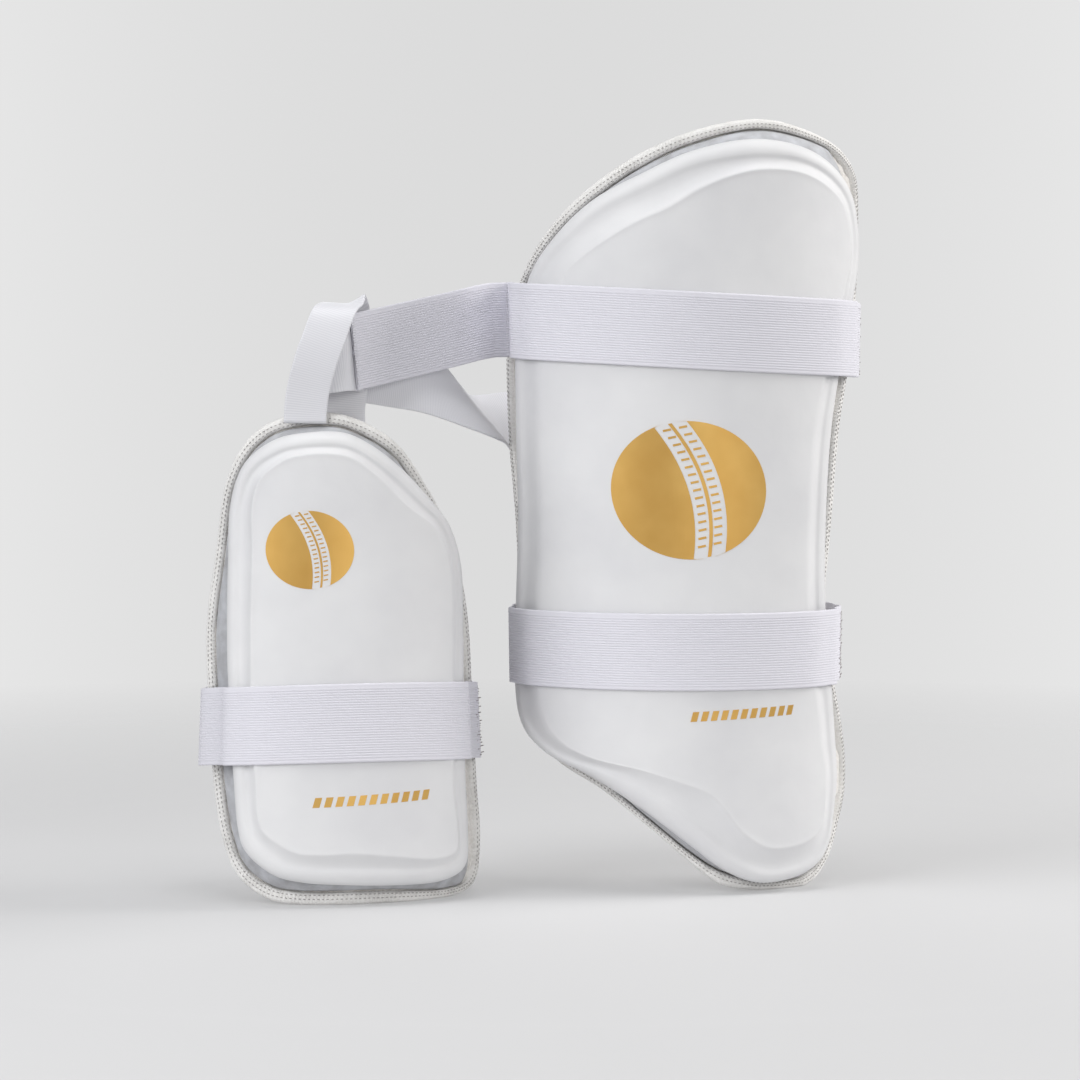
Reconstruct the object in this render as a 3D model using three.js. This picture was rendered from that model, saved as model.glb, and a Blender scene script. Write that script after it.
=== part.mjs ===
// Cricket thigh guard set: a large outer guard and a small inner guard on one waist belt.
// Millimetres, +Z up, the guards' faces toward -Y, standing on the floor at Z = 0.
import * as THREE from "three";
import { mergeVertices } from "three/addons/utils/BufferGeometryUtils.js";

// Driving sizes of the layers, from the leg side outward
const padThickness = 8;
const hemWidth = 7;
const hemLip = 2;
const hemEase = 1;
const gussetDepth = 5.5;
const gussetWidth = 12;
const gussetProud = 2;
const shellWall = 9;
const lipWall = 1.5;
const rollWidth = 9;
const bevelStart = 13;
const bevelEnd = 20;
const seam = 0.8;

// Most that the roll and the bevel may take of the way from the shell's edge to its spine
const rollReach = 0.3;
const bevelStartReach = 0.4;
const bevelEndReach = 0.52;

// Driving sizes of the straps
const strapWidth = 40;
const elasticThickness = 1.6;
const tapeThickness = 1.2;
const loopWidth = 22;
const loopThickness = 1.2;
const tabLength = 34;
const tabStart = 0.1;
const tabNarrowing = 0.04;
const strapLift = 0.6;
const strapStandOff = 2.2;
const strapDip = 1;
const lap = 0.4;

// The two guards: a cone that opens to the leg, how far it wraps to each side, where it stands.
// Outline rows run round the edge from the foot, as shares of the wrap and of the height:
// hem and shell edge side by side, so that each row is one spoke of the layers.
const outer = {
  name: "outer", height: 405, skinFoot: 81, skinTop: 88, wrap: 80,
  axisX: 79, axisY: 100, yaw: 0, plateau: 3,
  spine: { topTurn: 0.12, topUp: 0.8, footTurn: 0.33, footUp: 0.19 },
  outline: [
    { hemTurn: 0.34, hemUp: 0.0, shellTurn: 0.31, shellUp: 0.013 },
    { hemTurn: 0.575, hemUp: 0.0, shellTurn: 0.5, shellUp: 0.022 },
    { hemTurn: 0.725, hemUp: 0.022, shellTurn: 0.605, shellUp: 0.05 },
    { hemTurn: 0.86, hemUp: 0.072, shellTurn: 0.65, shellUp: 0.104 },
    { hemTurn: 0.97, hemUp: 0.14, shellTurn: 0.665, shellUp: 0.158 },
    { hemTurn: 0.79, hemUp: 0.264, shellTurn: 0.625, shellUp: 0.267 },
    { hemTurn: 0.7, hemUp: 0.37, shellTurn: 0.585, shellUp: 0.37 },
    { hemTurn: 0.74, hemUp: 0.48, shellTurn: 0.58, shellUp: 0.48 },
    { hemTurn: 0.8, hemUp: 0.605, shellTurn: 0.605, shellUp: 0.605 },
    { hemTurn: 0.94, hemUp: 0.715, shellTurn: 0.675, shellUp: 0.715 },
    { hemTurn: 1.05, hemUp: 0.815, shellTurn: 0.755, shellUp: 0.815 },
    { hemTurn: 1.02, hemUp: 0.908, shellTurn: 0.725, shellUp: 0.889 },
    { hemTurn: 0.825, hemUp: 0.955, shellTurn: 0.625, shellUp: 0.933 },
    { hemTurn: 0.575, hemUp: 0.984, shellTurn: 0.46, shellUp: 0.963 },
    { hemTurn: 0.31, hemUp: 1.0, shellTurn: 0.25, shellUp: 0.973 },
    { hemTurn: 0.04, hemUp: 0.985, shellTurn: 0.03, shellUp: 0.958 },
    { hemTurn: -0.18, hemUp: 0.955, shellTurn: -0.16, shellUp: 0.928 },
    { hemTurn: -0.38, hemUp: 0.915, shellTurn: -0.34, shellUp: 0.895 },
    { hemTurn: -0.57, hemUp: 0.868, shellTurn: -0.5, shellUp: 0.848 },
    { hemTurn: -0.75, hemUp: 0.812, shellTurn: -0.625, shellUp: 0.795 },
    { hemTurn: -0.96, hemUp: 0.725, shellTurn: -0.7, shellUp: 0.716 },
    { hemTurn: -0.97, hemUp: 0.6, shellTurn: -0.71, shellUp: 0.6 },
    { hemTurn: -0.89, hemUp: 0.48, shellTurn: -0.706, shellUp: 0.48 },
    { hemTurn: -0.87, hemUp: 0.36, shellTurn: -0.73, shellUp: 0.36 },
    { hemTurn: -0.86, hemUp: 0.27, shellTurn: -0.742, shellUp: 0.264 },
    { hemTurn: -0.78, hemUp: 0.203, shellTurn: -0.7, shellUp: 0.212 },
    { hemTurn: -0.575, hemUp: 0.162, shellTurn: -0.565, shellUp: 0.177 },
    { hemTurn: -0.35, hemUp: 0.13, shellTurn: -0.36, shellUp: 0.15 },
    { hemTurn: -0.125, hemUp: 0.079, shellTurn: -0.16, shellUp: 0.11 },
    { hemTurn: 0.03, hemUp: 0.038, shellTurn: 0.01, shellUp: 0.067 },
    { hemTurn: 0.16, hemUp: 0.01, shellTurn: 0.16, shellUp: 0.03 },
  ],
};
const inner = {
  name: "inner", height: 252, skinFoot: 80, skinTop: 67, wrap: 60,
  axisX: -112, axisY: 52, yaw: 15, plateau: 3,
  spine: { topTurn: -0.1, topUp: 0.74, footTurn: -0.02, footUp: 0.26 },
  outline: [
    { hemTurn: -0.13, hemUp: 0.0, shellTurn: -0.1, shellUp: 0.045 },
    { hemTurn: -0.33, hemUp: 0.0, shellTurn: -0.3, shellUp: 0.05 },
    { hemTurn: -0.52, hemUp: 0.01, shellTurn: -0.47, shellUp: 0.065 },
    { hemTurn: -0.68, hemUp: 0.048, shellTurn: -0.63, shellUp: 0.103 },
    { hemTurn: -0.78, hemUp: 0.11, shellTurn: -0.69, shellUp: 0.147 },
    { hemTurn: -0.86, hemUp: 0.22, shellTurn: -0.715, shellUp: 0.246 },
    { hemTurn: -0.95, hemUp: 0.417, shellTurn: -0.76, shellUp: 0.43 },
    { hemTurn: -0.985, hemUp: 0.56, shellTurn: -0.78, shellUp: 0.56 },
    { hemTurn: -0.935, hemUp: 0.706, shellTurn: -0.78, shellUp: 0.7 },
    { hemTurn: -0.89, hemUp: 0.845, shellTurn: -0.76, shellUp: 0.813 },
    { hemTurn: -0.758, hemUp: 0.931, shellTurn: -0.667, shellUp: 0.897 },
    { hemTurn: -0.583, hemUp: 0.978, shellTurn: -0.493, shellUp: 0.946 },
    { hemTurn: -0.35, hemUp: 1.0, shellTurn: -0.3, shellUp: 0.962 },
    { hemTurn: -0.1, hemUp: 1.0, shellTurn: -0.08, shellUp: 0.962 },
    { hemTurn: 0.133, hemUp: 0.974, shellTurn: 0.092, shellUp: 0.934 },
    { hemTurn: 0.333, hemUp: 0.93, shellTurn: 0.267, shellUp: 0.887 },
    { hemTurn: 0.52, hemUp: 0.855, shellTurn: 0.433, shellUp: 0.829 },
    { hemTurn: 0.68, hemUp: 0.785, shellTurn: 0.58, shellUp: 0.77 },
    { hemTurn: 0.84, hemUp: 0.69, shellTurn: 0.7, shellUp: 0.68 },
    { hemTurn: 0.95, hemUp: 0.555, shellTurn: 0.725, shellUp: 0.555 },
    { hemTurn: 0.955, hemUp: 0.4, shellTurn: 0.695, shellUp: 0.4 },
    { hemTurn: 0.955, hemUp: 0.254, shellTurn: 0.69, shellUp: 0.246 },
    { hemTurn: 0.97, hemUp: 0.11, shellTurn: 0.742, shellUp: 0.125 },
    { hemTurn: 0.867, hemUp: 0.024, shellTurn: 0.7, shellUp: 0.06 },
    { hemTurn: 0.6, hemUp: 0.0, shellTurn: 0.47, shellUp: 0.042 },
    { hemTurn: 0.25, hemUp: 0.0, shellTurn: 0.2, shellUp: 0.04 },
  ],
};
// Degrees by which both guards lean back, so that the set's weight is over its two feet
const leanBack = 1.3;

const stepsPerRow = 2;
const tabSections = 5;
const ribbonSteps = { link: 14, end: 8, tape: 60, loop: 36 };

// Strap places: height over the floor at the front, how much lower at the sides,
// how much the left side stands above the right
const outerStrap = { height: 128, drop: 0, tilt: 0, backDepth: 70 };
const innerStrap = { height: 95, drop: 12, tilt: 0, backDepth: 62 };
const belt = { height: 295, drop: 0, tilt: 6 };

// Radii measured outward from the skin side of the back pad
const hemFront = padThickness + hemLip;
const gussetBack = padThickness + seam;
const gussetFront = gussetBack + gussetDepth;
const lipOut = gussetFront + seam;
const rimOut = lipOut + shellWall;

// Looks of the finishes
const finishes = {
  coatedFoam: new THREE.MeshStandardMaterial({ color: "#e6e6e9", roughness: 0.55, metalness: 0 }),
  liningCloth: new THREE.MeshStandardMaterial({ color: "#cfcfd0", roughness: 0.85, metalness: 0 }),
  towelling: new THREE.MeshStandardMaterial({ color: "#efeeec", roughness: 0.95, metalness: 0 }),
  overlock: new THREE.MeshStandardMaterial({ color: "#e9e8e6", roughness: 0.9, metalness: 0 }),
  ribbedElastic: new THREE.MeshStandardMaterial({ color: "#e4e3ec", roughness: 0.8, metalness: 0 }),
  smoothTape: new THREE.MeshStandardMaterial({ color: "#e9e9ee", roughness: 0.6, metalness: 0 }),
  hookTape: new THREE.MeshStandardMaterial({ color: "#dcdad6", roughness: 0.9, metalness: 0 }),
};

const assembly = new THREE.Group();

function addPiece(name, geometry, material) {
  geometry.computeVertexNormals();
  const mesh = new THREE.Mesh(geometry, material);
  mesh.name = name;
  assembly.add(mesh);
  return mesh;
}

// A guard's surface
// Flat pattern: x is the arc length from the middle of the face, y the height.
// place() bends it round the guard's cone at a distance out from the skin side.
function skinRadius(guard, height) {
  return THREE.MathUtils.lerp(guard.skinFoot, guard.skinTop, height / guard.height);
}

function patternRadius(guard) {
  return (guard.skinFoot + guard.skinTop) / 2 + padThickness;
}

// How far back a height over the floor lies
function leanAt(height) {
  return height * Math.tan(THREE.MathUtils.degToRad(leanBack));
}

function place(guard, flat, out) {
  const turn = flat.x / patternRadius(guard) + THREE.MathUtils.degToRad(guard.yaw);
  const radius = skinRadius(guard, flat.y) + out;
  return new THREE.Vector3(
    guard.axisX + radius * Math.sin(turn),
    guard.axisY - radius * Math.cos(turn) + leanAt(flat.y),
    flat.y,
  );
}

function flatPoint(guard, turnShare, upShare) {
  const arc = THREE.MathUtils.degToRad(guard.wrap * turnShare) * patternRadius(guard);
  return new THREE.Vector2(arc, upShare * guard.height);
}

function roundCurve(guard, turnKey, upKey) {
  const points = guard.outline.map((row) => {
    const flat = flatPoint(guard, row[turnKey], row[upKey]);
    return new THREE.Vector3(flat.x, flat.y, 0);
  });
  const curve = new THREE.CatmullRomCurve3(points, true, "catmullrom", 0.5);
  const count = points.length * stepsPerRow;
  return Array.from({ length: count }, (_, i) => {
    const point = curve.getPoint(i / count);
    return new THREE.Vector2(point.x, Math.max(point.y, 0));
  });
}

// One spoke for each step round the outline: hem edge, shell edge and the spine behind them
function makeSpokes(guard) {
  const hem = roundCurve(guard, "hemTurn", "hemUp");
  const shell = roundCurve(guard, "shellTurn", "shellUp");
  const top = flatPoint(guard, guard.spine.topTurn, guard.spine.topUp);
  const foot = flatPoint(guard, guard.spine.footTurn, guard.spine.footUp);
  return hem.map((edge, i) => {
    const share = THREE.MathUtils.clamp((shell[i].y - foot.y) / (top.y - foot.y), 0, 1);
    const spine = foot.clone().lerp(top, share);
    return { hem: edge, shell: shell[i], spine, rim: edge.distanceTo(shell[i]),
      reach: shell[i].distanceTo(spine) };
  });
}

// Flat point at a distance inward from the hem's edge: first to the shell's edge, then on
// toward the spine
function walk(spoke, distance) {
  if (distance <= spoke.rim) return spoke.hem.clone().lerp(spoke.shell, distance / spoke.rim);
  const share = Math.min((distance - spoke.rim) / spoke.reach, 1);
  return spoke.shell.clone().lerp(spoke.spine, share);
}

function ring(guard, spokes, distanceOf, out) {
  return spokes.map((spoke) => place(guard, walk(spoke, distanceOf(spoke)), out));
}

function middlePoint(guard, out) {
  const { topTurn, topUp, footTurn, footUp } = guard.spine;
  return place(guard, flatPoint(guard, (topTurn + footTurn) / 2, (topUp + footUp) / 2), out);
}

// Closed body through a list of rings. One with middles ends in a fan at each; one without
// closes on itself.
function loftRings(rings, middles = []) {
  const count = rings[0].length;
  const capped = middles.length > 0;
  const vertices = [...rings.flat(), ...middles];
  const faces = [];
  const last = capped ? rings.length - 1 : rings.length;
  for (let r = 0; r < last; r += 1) {
    const a = r * count;
    const b = ((r + 1) % rings.length) * count;
    for (let i = 0; i < count; i += 1) {
      const j = (i + 1) % count;
      faces.push([a + i, a + j, b + j], [a + i, b + j, b + i]);
    }
  }
  if (capped) {
    const end = (rings.length - 1) * count;
    const hub = rings.length * count;
    for (let i = 0; i < count; i += 1) {
      const j = (i + 1) % count;
      faces.push([hub, j, i], [hub + 1, end + i, end + j]);
    }
  }
  return solidFrom(vertices, faces);
}

// Indexed geometry whose faces point out, whichever way the rings ran
function solidFrom(vertices, faces) {
  let volume = 0;
  const cross = new THREE.Vector3();
  faces.forEach(([i, j, k]) => {
    volume += vertices[i].dot(cross.crossVectors(vertices[j], vertices[k]));
  });
  const index = volume < 0 ? faces.flatMap(([i, j, k]) => [i, k, j]) : faces.flat();
  const geometry = new THREE.BufferGeometry();
  const positions = vertices.flatMap((point) => [point.x, point.y, point.z]);
  geometry.setAttribute("position", new THREE.Float32BufferAttribute(positions, 3));
  geometry.setIndex(index);
  return mergeVertices(geometry, 1e-3);
}

// Rings from a start distance in to the middle, shared by every layer that lies on another
const middleShares = [0.42, 0.24, 0.1];

function middleRings(guard, spokes, startOf, out) {
  const between = (spoke) => {
    const start = 1 - (startOf(spoke) - spoke.rim) / spoke.reach;
    return spoke.rim + spoke.reach * (1 - (start + middleShares[0]) / 2);
  };
  const rings = [ring(guard, spokes, startOf, out), ring(guard, spokes, between, out)];
  middleShares.forEach((share) => {
    rings.push(ring(guard, spokes, (spoke) => spoke.rim + spoke.reach * (1 - share), out));
  });
  return rings;
}

const padEdge = () => hemWidth + seam;
const stepEdge = (spoke) => spoke.rim + gussetWidth + seam;
const gussetEdge = (spoke) => Math.max(hemWidth + seam, spoke.rim - gussetProud);

function makeBackPad(guard, spokes) {
  const back = [ring(guard, spokes, padEdge, 0), ...middleRings(guard, spokes, stepEdge, 0)];
  const front = [ring(guard, spokes, padEdge, padThickness),
    ...middleRings(guard, spokes, stepEdge, padThickness)];
  return loftRings([...back.reverse(), ...front],
    [middlePoint(guard, 0), middlePoint(guard, padThickness)]);
}

// Rounded binding, flat on its outer edge so that the guard can stand on it
function makeHem(guard, spokes) {
  const profile = [
    { inset: 0, out: hemEase },
    { inset: 0, out: padThickness - hemEase },
    { inset: hemLip, out: hemFront },
    { inset: hemWidth - hemLip, out: hemFront },
    { inset: hemWidth, out: padThickness },
    { inset: hemWidth, out: 0 },
    { inset: hemWidth - hemLip, out: -hemLip },
    { inset: hemLip, out: -hemLip },
  ];
  return loftRings(profile.map((row) => ring(guard, spokes, () => row.inset, row.out)));
}

function makeGusset(guard, spokes) {
  const innerEdge = (spoke) => spoke.rim + gussetWidth;
  return loftRings([
    ring(guard, spokes, gussetEdge, gussetBack),
    ring(guard, spokes, gussetEdge, gussetFront),
    ring(guard, spokes, innerEdge, gussetFront),
    ring(guard, spokes, innerEdge, gussetBack),
  ]);
}

// Shell: foam body on the back pad, lip over the gusset, rolled edge, rim, bevel and middle
function makeShell(guard, spokes) {
  const body = middleRings(guard, spokes, stepEdge, gussetBack).reverse();
  const lip = [ring(guard, spokes, stepEdge, lipOut), ring(guard, spokes, (spoke) => spoke.rim, lipOut)];
  const rollSteps = 4;
  const wallTop = lipOut + lipWall;
  const roll = Array.from({ length: rollSteps + 1 }, (_, i) => {
    const angle = (Math.PI / 2) * (i / rollSteps);
    const width = (spoke) => Math.min(rollWidth, rollReach * spoke.reach);
    const inset = (spoke) => spoke.rim + width(spoke) * (1 - Math.cos(angle));
    return ring(guard, spokes, inset, wallTop + (rimOut - wallTop) * Math.sin(angle));
  });
  const bevelFoot = (spoke) => spoke.rim + Math.min(bevelStart, bevelStartReach * spoke.reach);
  const bevelCrest = (spoke) => spoke.rim + Math.min(bevelEnd, bevelEndReach * spoke.reach);
  const front = [ring(guard, spokes, bevelFoot, rimOut),
    ...middleRings(guard, spokes, bevelCrest, rimOut + guard.plateau)];
  return loftRings([...body, ...lip, ...roll, ...front],
    [middlePoint(guard, gussetBack), middlePoint(guard, rimOut + guard.plateau)]);
}

// Straps
// A strap is a list of sections, each with the lower and upper corner of its leg-side face
// and the way its thickness grows.
function loftStrap(sections, thickness, closed) {
  const corners = sections.map(({ low, high, out }) => [
    low, high, high.clone().addScaledVector(out, thickness), low.clone().addScaledVector(out, thickness),
  ]);
  const vertices = corners.flat();
  const faces = [];
  const steps = closed ? corners.length : corners.length - 1;
  for (let s = 0; s < steps; s += 1) {
    const a = s * 4;
    const b = ((s + 1) % corners.length) * 4;
    for (let i = 0; i < 4; i += 1) {
      const j = (i + 1) % 4;
      faces.push([a + i, a + j, b + j], [a + i, b + j, b + i]);
    }
  }
  if (!closed) {
    const end = (corners.length - 1) * 4;
    faces.push([0, 2, 1], [0, 3, 2], [end, end + 1, end + 2], [end, end + 2, end + 3]);
  }
  return solidFrom(vertices, faces);
}

// Widest arc of the hem or shell edge inside a strap's band, on one side
function edgeArc(spokes, key, height, side) {
  const levels = [-0.5, -0.25, 0, 0.25, 0.5].map((share) => height + share * strapWidth);
  let widest = 0;
  spokes.forEach((spoke, i) => {
    const a = spoke[key];
    const b = spokes[(i + 1) % spokes.length][key];
    levels.forEach((level) => {
      if ((a.y - level) * (b.y - level) > 0 || a.y === b.y) return;
      const arc = THREE.MathUtils.lerp(a.x, b.x, (level - a.y) / (b.y - a.y));
      widest = Math.max(widest, arc * side);
    });
  });
  return widest;
}

function strapHeight(guard, strap, arc) {
  const turn = THREE.MathUtils.clamp(arc / patternRadius(guard), -Math.PI / 2, Math.PI / 2);
  return strap.height - strap.tilt * Math.sin(turn) - strap.drop * (1 - Math.cos(turn));
}

function strapSection(guard, strap, arc, out) {
  const height = strapHeight(guard, strap, arc);
  const low = place(guard, new THREE.Vector2(arc, height - strapWidth / 2), out);
  const high = place(guard, new THREE.Vector2(arc, height + strapWidth / 2), out);
  const turn = arc / patternRadius(guard) + THREE.MathUtils.degToRad(guard.yaw);
  return { low, high, out: new THREE.Vector3(Math.sin(turn), -Math.cos(turn), 0) };
}

// The strap's lie over one edge of the guard, from the raised middle to just past the hem
function edgeKeys(guard, spokes, strap, side) {
  const height = strapHeight(guard, strap, side * patternRadius(guard));
  const shell = edgeArc(spokes, "shell", height, side);
  const hem = edgeArc(spokes, "hem", height, side);
  return [
    { arc: shell - bevelEnd, out: rimOut + guard.plateau + strapLift },
    { arc: shell - rollWidth, out: rimOut + 2 * strapLift },
    { arc: shell - rollWidth / 4, out: rimOut - strapLift / 2 },
    { arc: shell + strapStandOff, out: rimOut - shellWall / 2 - strapDip },
    { arc: hem + strapLift, out: hemFront + strapLift },
    { arc: hem + 3 * strapLift, out: padThickness },
  ].map((key) => ({ arc: key.arc * side, out: key.out }));
}

function strapOverFace(guard, spokes, strap, leftKeys, rightKeys) {
  const keys = [...leftKeys.slice().reverse()];
  const start = leftKeys[0].arc;
  const end = rightKeys[0].arc;
  const faceSteps = 12;
  for (let i = 1; i < faceSteps; i += 1) {
    keys.push({ arc: THREE.MathUtils.lerp(start, end, i / faceSteps), out: leftKeys[0].out });
  }
  keys.push(...rightKeys);
  return keys.map((key) => strapSection(guard, strap, key.arc, key.out));
}

// The hidden way round behind the leg: half an ellipse from one fold to the other that
// leaves both straight to the back
function strapBehind(sections, backDepth, from, to, steps) {
  const left = sections[0];
  const right = sections.at(-1);
  const behind = (a, b, angle) => {
    const middle = a.clone().add(b).multiplyScalar(0.5);
    const half = a.clone().sub(b).multiplyScalar(0.5);
    return middle.addScaledVector(half, Math.cos(angle)).add(
      new THREE.Vector3(0, backDepth * Math.sin(angle), 0));
  };
  return Array.from({ length: steps }, (_, i) => {
    const angle = THREE.MathUtils.lerp(from, to, i / (steps - 1));
    const low = behind(right.low, left.low, angle);
    const high = behind(right.high, left.high, angle);
    const half = right.low.clone().sub(left.low).multiplyScalar(0.5);
    const heading = half.multiplyScalar(-Math.sin(angle)).add(
      new THREE.Vector3(0, backDepth * Math.cos(angle), 0)).setZ(0).normalize();
    return { low, high, out: new THREE.Vector3(heading.y, -heading.x, 0) };
  });
}

function makeLegStrap(guard, spokes, strap) {
  const face = strapOverFace(guard, spokes, strap,
    edgeKeys(guard, spokes, strap, -1), edgeKeys(guard, spokes, strap, 1));
  const backSteps = 18;
  const step = Math.PI / backSteps;
  const behind = strapBehind(face, strap.backDepth, step, Math.PI - step, backSteps - 1);
  return { face, geometry: loftStrap([...face, ...behind], elasticThickness, true) };
}

// Hook tab lying on the strap just behind its right fold
function makeTab(face, strap) {
  const span = tabLength / strap.backDepth;
  const sections = strapBehind(face, strap.backDepth, tabStart, tabStart + span, tabSections);
  sections.forEach((section) => {
    const shrink = section.high.clone().sub(section.low).multiplyScalar(tabNarrowing);
    section.low.add(shrink).addScaledVector(section.out, elasticThickness + lap);
    section.high.sub(shrink).addScaledVector(section.out, elasticThickness + lap);
  });
  return loftStrap(sections, tapeThickness, false);
}

// A free ribbon along a route: each row has a place and the way its width lies there.
// Its thickness grows to the left of the route seen from above, or to the right with side -1.
function ribbonSections(rows, width, steps, side) {
  const route = new THREE.CatmullRomCurve3(rows.map((row) => row.at), false, "centripetal");
  const widths = new THREE.CatmullRomCurve3(rows.map((row) => row.across), false, "catmullrom", 0.5);
  return Array.from({ length: steps + 1 }, (_, i) => {
    const share = i / steps;
    const at = route.getPoint(share);
    const heading = route.getTangent(share);
    const across = widths.getPoint(share);
    const wide = across.addScaledVector(heading, -across.dot(heading)).normalize();
    const out = wide.clone().cross(heading).normalize().multiplyScalar(side);
    return { low: at.clone().addScaledVector(wide, -width / 2),
      high: at.clone().addScaledVector(wide, width / 2), out };
  });
}

const upright = new THREE.Vector3(0, 0, 1);

function leaning(degrees, towardX, towardY) {
  const angle = THREE.MathUtils.degToRad(degrees);
  const side = new THREE.Vector3(towardX, towardY, 0).normalize();
  return upright.clone().multiplyScalar(Math.cos(angle)).addScaledVector(side, Math.sin(angle));
}

function middleOf(section) {
  return section.low.clone().add(section.high).multiplyScalar(0.5);
}

// Place beside another one, by shares of the strap's width
function beside(point, { x = 0, y = 0, z = 0 }) {
  return point.clone().add(new THREE.Vector3(x, y, z).multiplyScalar(strapWidth));
}

// Build the two guards
const spokesOf = { outer: makeSpokes(outer), inner: makeSpokes(inner) };
[outer, inner].forEach((guard) => {
  const spokes = spokesOf[guard.name];
  addPiece(`${guard.name}_back_pad`, makeBackPad(guard, spokes), finishes.towelling);
  addPiece(`${guard.name}_hem`, makeHem(guard, spokes), finishes.overlock);
  addPiece(`${guard.name}_gusset`, makeGusset(guard, spokes), finishes.liningCloth);
  addPiece(`${guard.name}_shell`, makeShell(guard, spokes), finishes.coatedFoam);
});

// Leg straps and their tabs
const outerLeg = makeLegStrap(outer, spokesOf.outer, outerStrap);
addPiece("outer_lower_strap", outerLeg.geometry, finishes.ribbedElastic);
addPiece("outer_tab", makeTab(outerLeg.face, outerStrap), finishes.hookTape);
const innerLeg = makeLegStrap(inner, spokesOf.inner, innerStrap);
addPiece("inner_strap", innerLeg.geometry, finishes.ribbedElastic);
addPiece("inner_tab", makeTab(innerLeg.face, innerStrap), finishes.hookTape);

// Waist belt
// Where the hanging loop is sewn in, on the leg side of the small guard's top edge
const loopTurn = -0.03;
const seat = place(inner, flatPoint(inner, loopTurn, 1), 0);

// Elastic: from its seam with the tape to the outer guard's left edge, where it folds back
// round the shell, over the face, round the right edge and a short way behind
const leftKeys = edgeKeys(outer, spokesOf.outer, belt, -1).slice(0, 4);
const tuck = { back: 0.3 * strapWidth, out: hemFront + 0.0625 * strapWidth };
leftKeys.push({ arc: leftKeys[3].arc - tuck.back, out: tuck.out });
const rightKeys = edgeKeys(outer, spokesOf.outer, belt, 1);
const beltFace = strapOverFace(outer, spokesOf.outer, belt, leftKeys, rightKeys);
const leftFold = middleOf(beltFace[0]);
const rightFold = middleOf(beltFace.at(-1));
const seamPoint = beside(seat, { x: 0.0925, y: -0.12, z: 0.7875 });
const foldMouth = beside(leftFold, { x: -0.3, y: 0.175, z: -0.0125 });
const foldTable = [
  { x: -0.1875, y: 0.2375, z: -0.0075 },
  { x: -0.075, y: 0.15, z: 0 },
];
const endTable = [
  { x: 0.01, y: 0.2 },
  { x: -0.075, y: 0.375 },
  { x: -0.3, y: 0.4875 },
  { x: -0.65, y: 0.5 },
  { x: -1, y: 0.5 },
];
const uprightAt = (at) => ({ at, across: upright });
const linkRows = [
  ...[0, 0.33, 0.67, 1].map((share) => uprightAt(seamPoint.clone().lerp(foldMouth, share))),
  ...foldTable.map((row) => uprightAt(beside(leftFold, row))),
];
const endRows = endTable.map((row) => uprightAt(beside(rightFold, row)));
const beltElastic = [
  ...ribbonSections(linkRows, strapWidth, ribbonSteps.link, -1),
  ...beltFace,
  ...ribbonSections(endRows, strapWidth, ribbonSteps.end, -1),
];
addPiece("belt_elastic", loftStrap(beltElastic, elasticThickness, false), finishes.ribbedElastic);

// Tape: sewn behind the elastic's end, turns back inside the hanging loop, then runs behind
// the outer guard to the elastic's other end. lean tips its width from upright, in degrees,
// toward leanX and leanY.
const lapDepth = lap + tapeThickness;
const linkHeading = foldMouth.clone().sub(seamPoint).setZ(0).normalize();
const behindLink = new THREE.Vector3(-linkHeading.y, linkHeading.x, 0).multiplyScalar(lapDepth);
const across = (row) => leaning(row.lean ?? 0, row.leanX ?? 1, row.leanY ?? 0);

// Along the seam with the elastic
const seamTable = [{ along: 0.225 }, { along: 0 }, { along: -0.15 }];

// Round inside the hanging loop, from its seat
const turnTable = [
  { x: -0.1825, y: -0.225, z: 0.7625, lean: 9 },
  { x: -0.32, y: -0.1625, z: 0.7375, lean: 18 },
  { x: -0.39, y: -0.01, z: 0.725, lean: 24 },
  { x: -0.3075, y: 0.16, z: 0.7, lean: 20 },
  { x: -0.1375, y: 0.245, z: 0.675, lean: 9 },
];

// On the way from the seat to the left fold
const wayTable = [
  { share: 0.055, y: 0.2875, z: 0.575 },
  { share: 0.25, y: 0.2125, z: 0.2675 },
  { share: 0.435, y: 0.235, z: -0.0575, lean: 12, leanX: -1, leanY: 1 },
  { share: 0.645, y: 0.44, z: -0.59, lean: 32, leanX: -1, leanY: 1 },
  { share: 0.806, y: 0.755, z: -1.0375, lean: 42, leanX: -2, leanY: 1 },
  { share: 0.885, y: 1.0575, z: -1.265, lean: 40, leanX: -2, leanY: 1 },
];

// Behind the outer guard, as shares of its radius and height
const behindTable = [
  { radiusX: -0.95, radiusY: 0.08, up: 0.607, lean: 38, leanX: -1, leanY: 2 },
  { radiusX: -0.67, radiusY: 0.15, up: 0.617, lean: 34, leanX: 0, leanY: 1 },
  { radiusX: -0.22, radiusY: 0.16, up: 0.642, lean: 20, leanX: 0, leanY: 1 },
  { radiusX: 0.24, radiusY: 0.1, up: 0.679, lean: 6, leanX: 0, leanY: 1 },
];

// In front of the elastic's right end
const rightTable = [{ x: -1.1 }, { x: -0.75 }, { x: -0.45 }];

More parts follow.
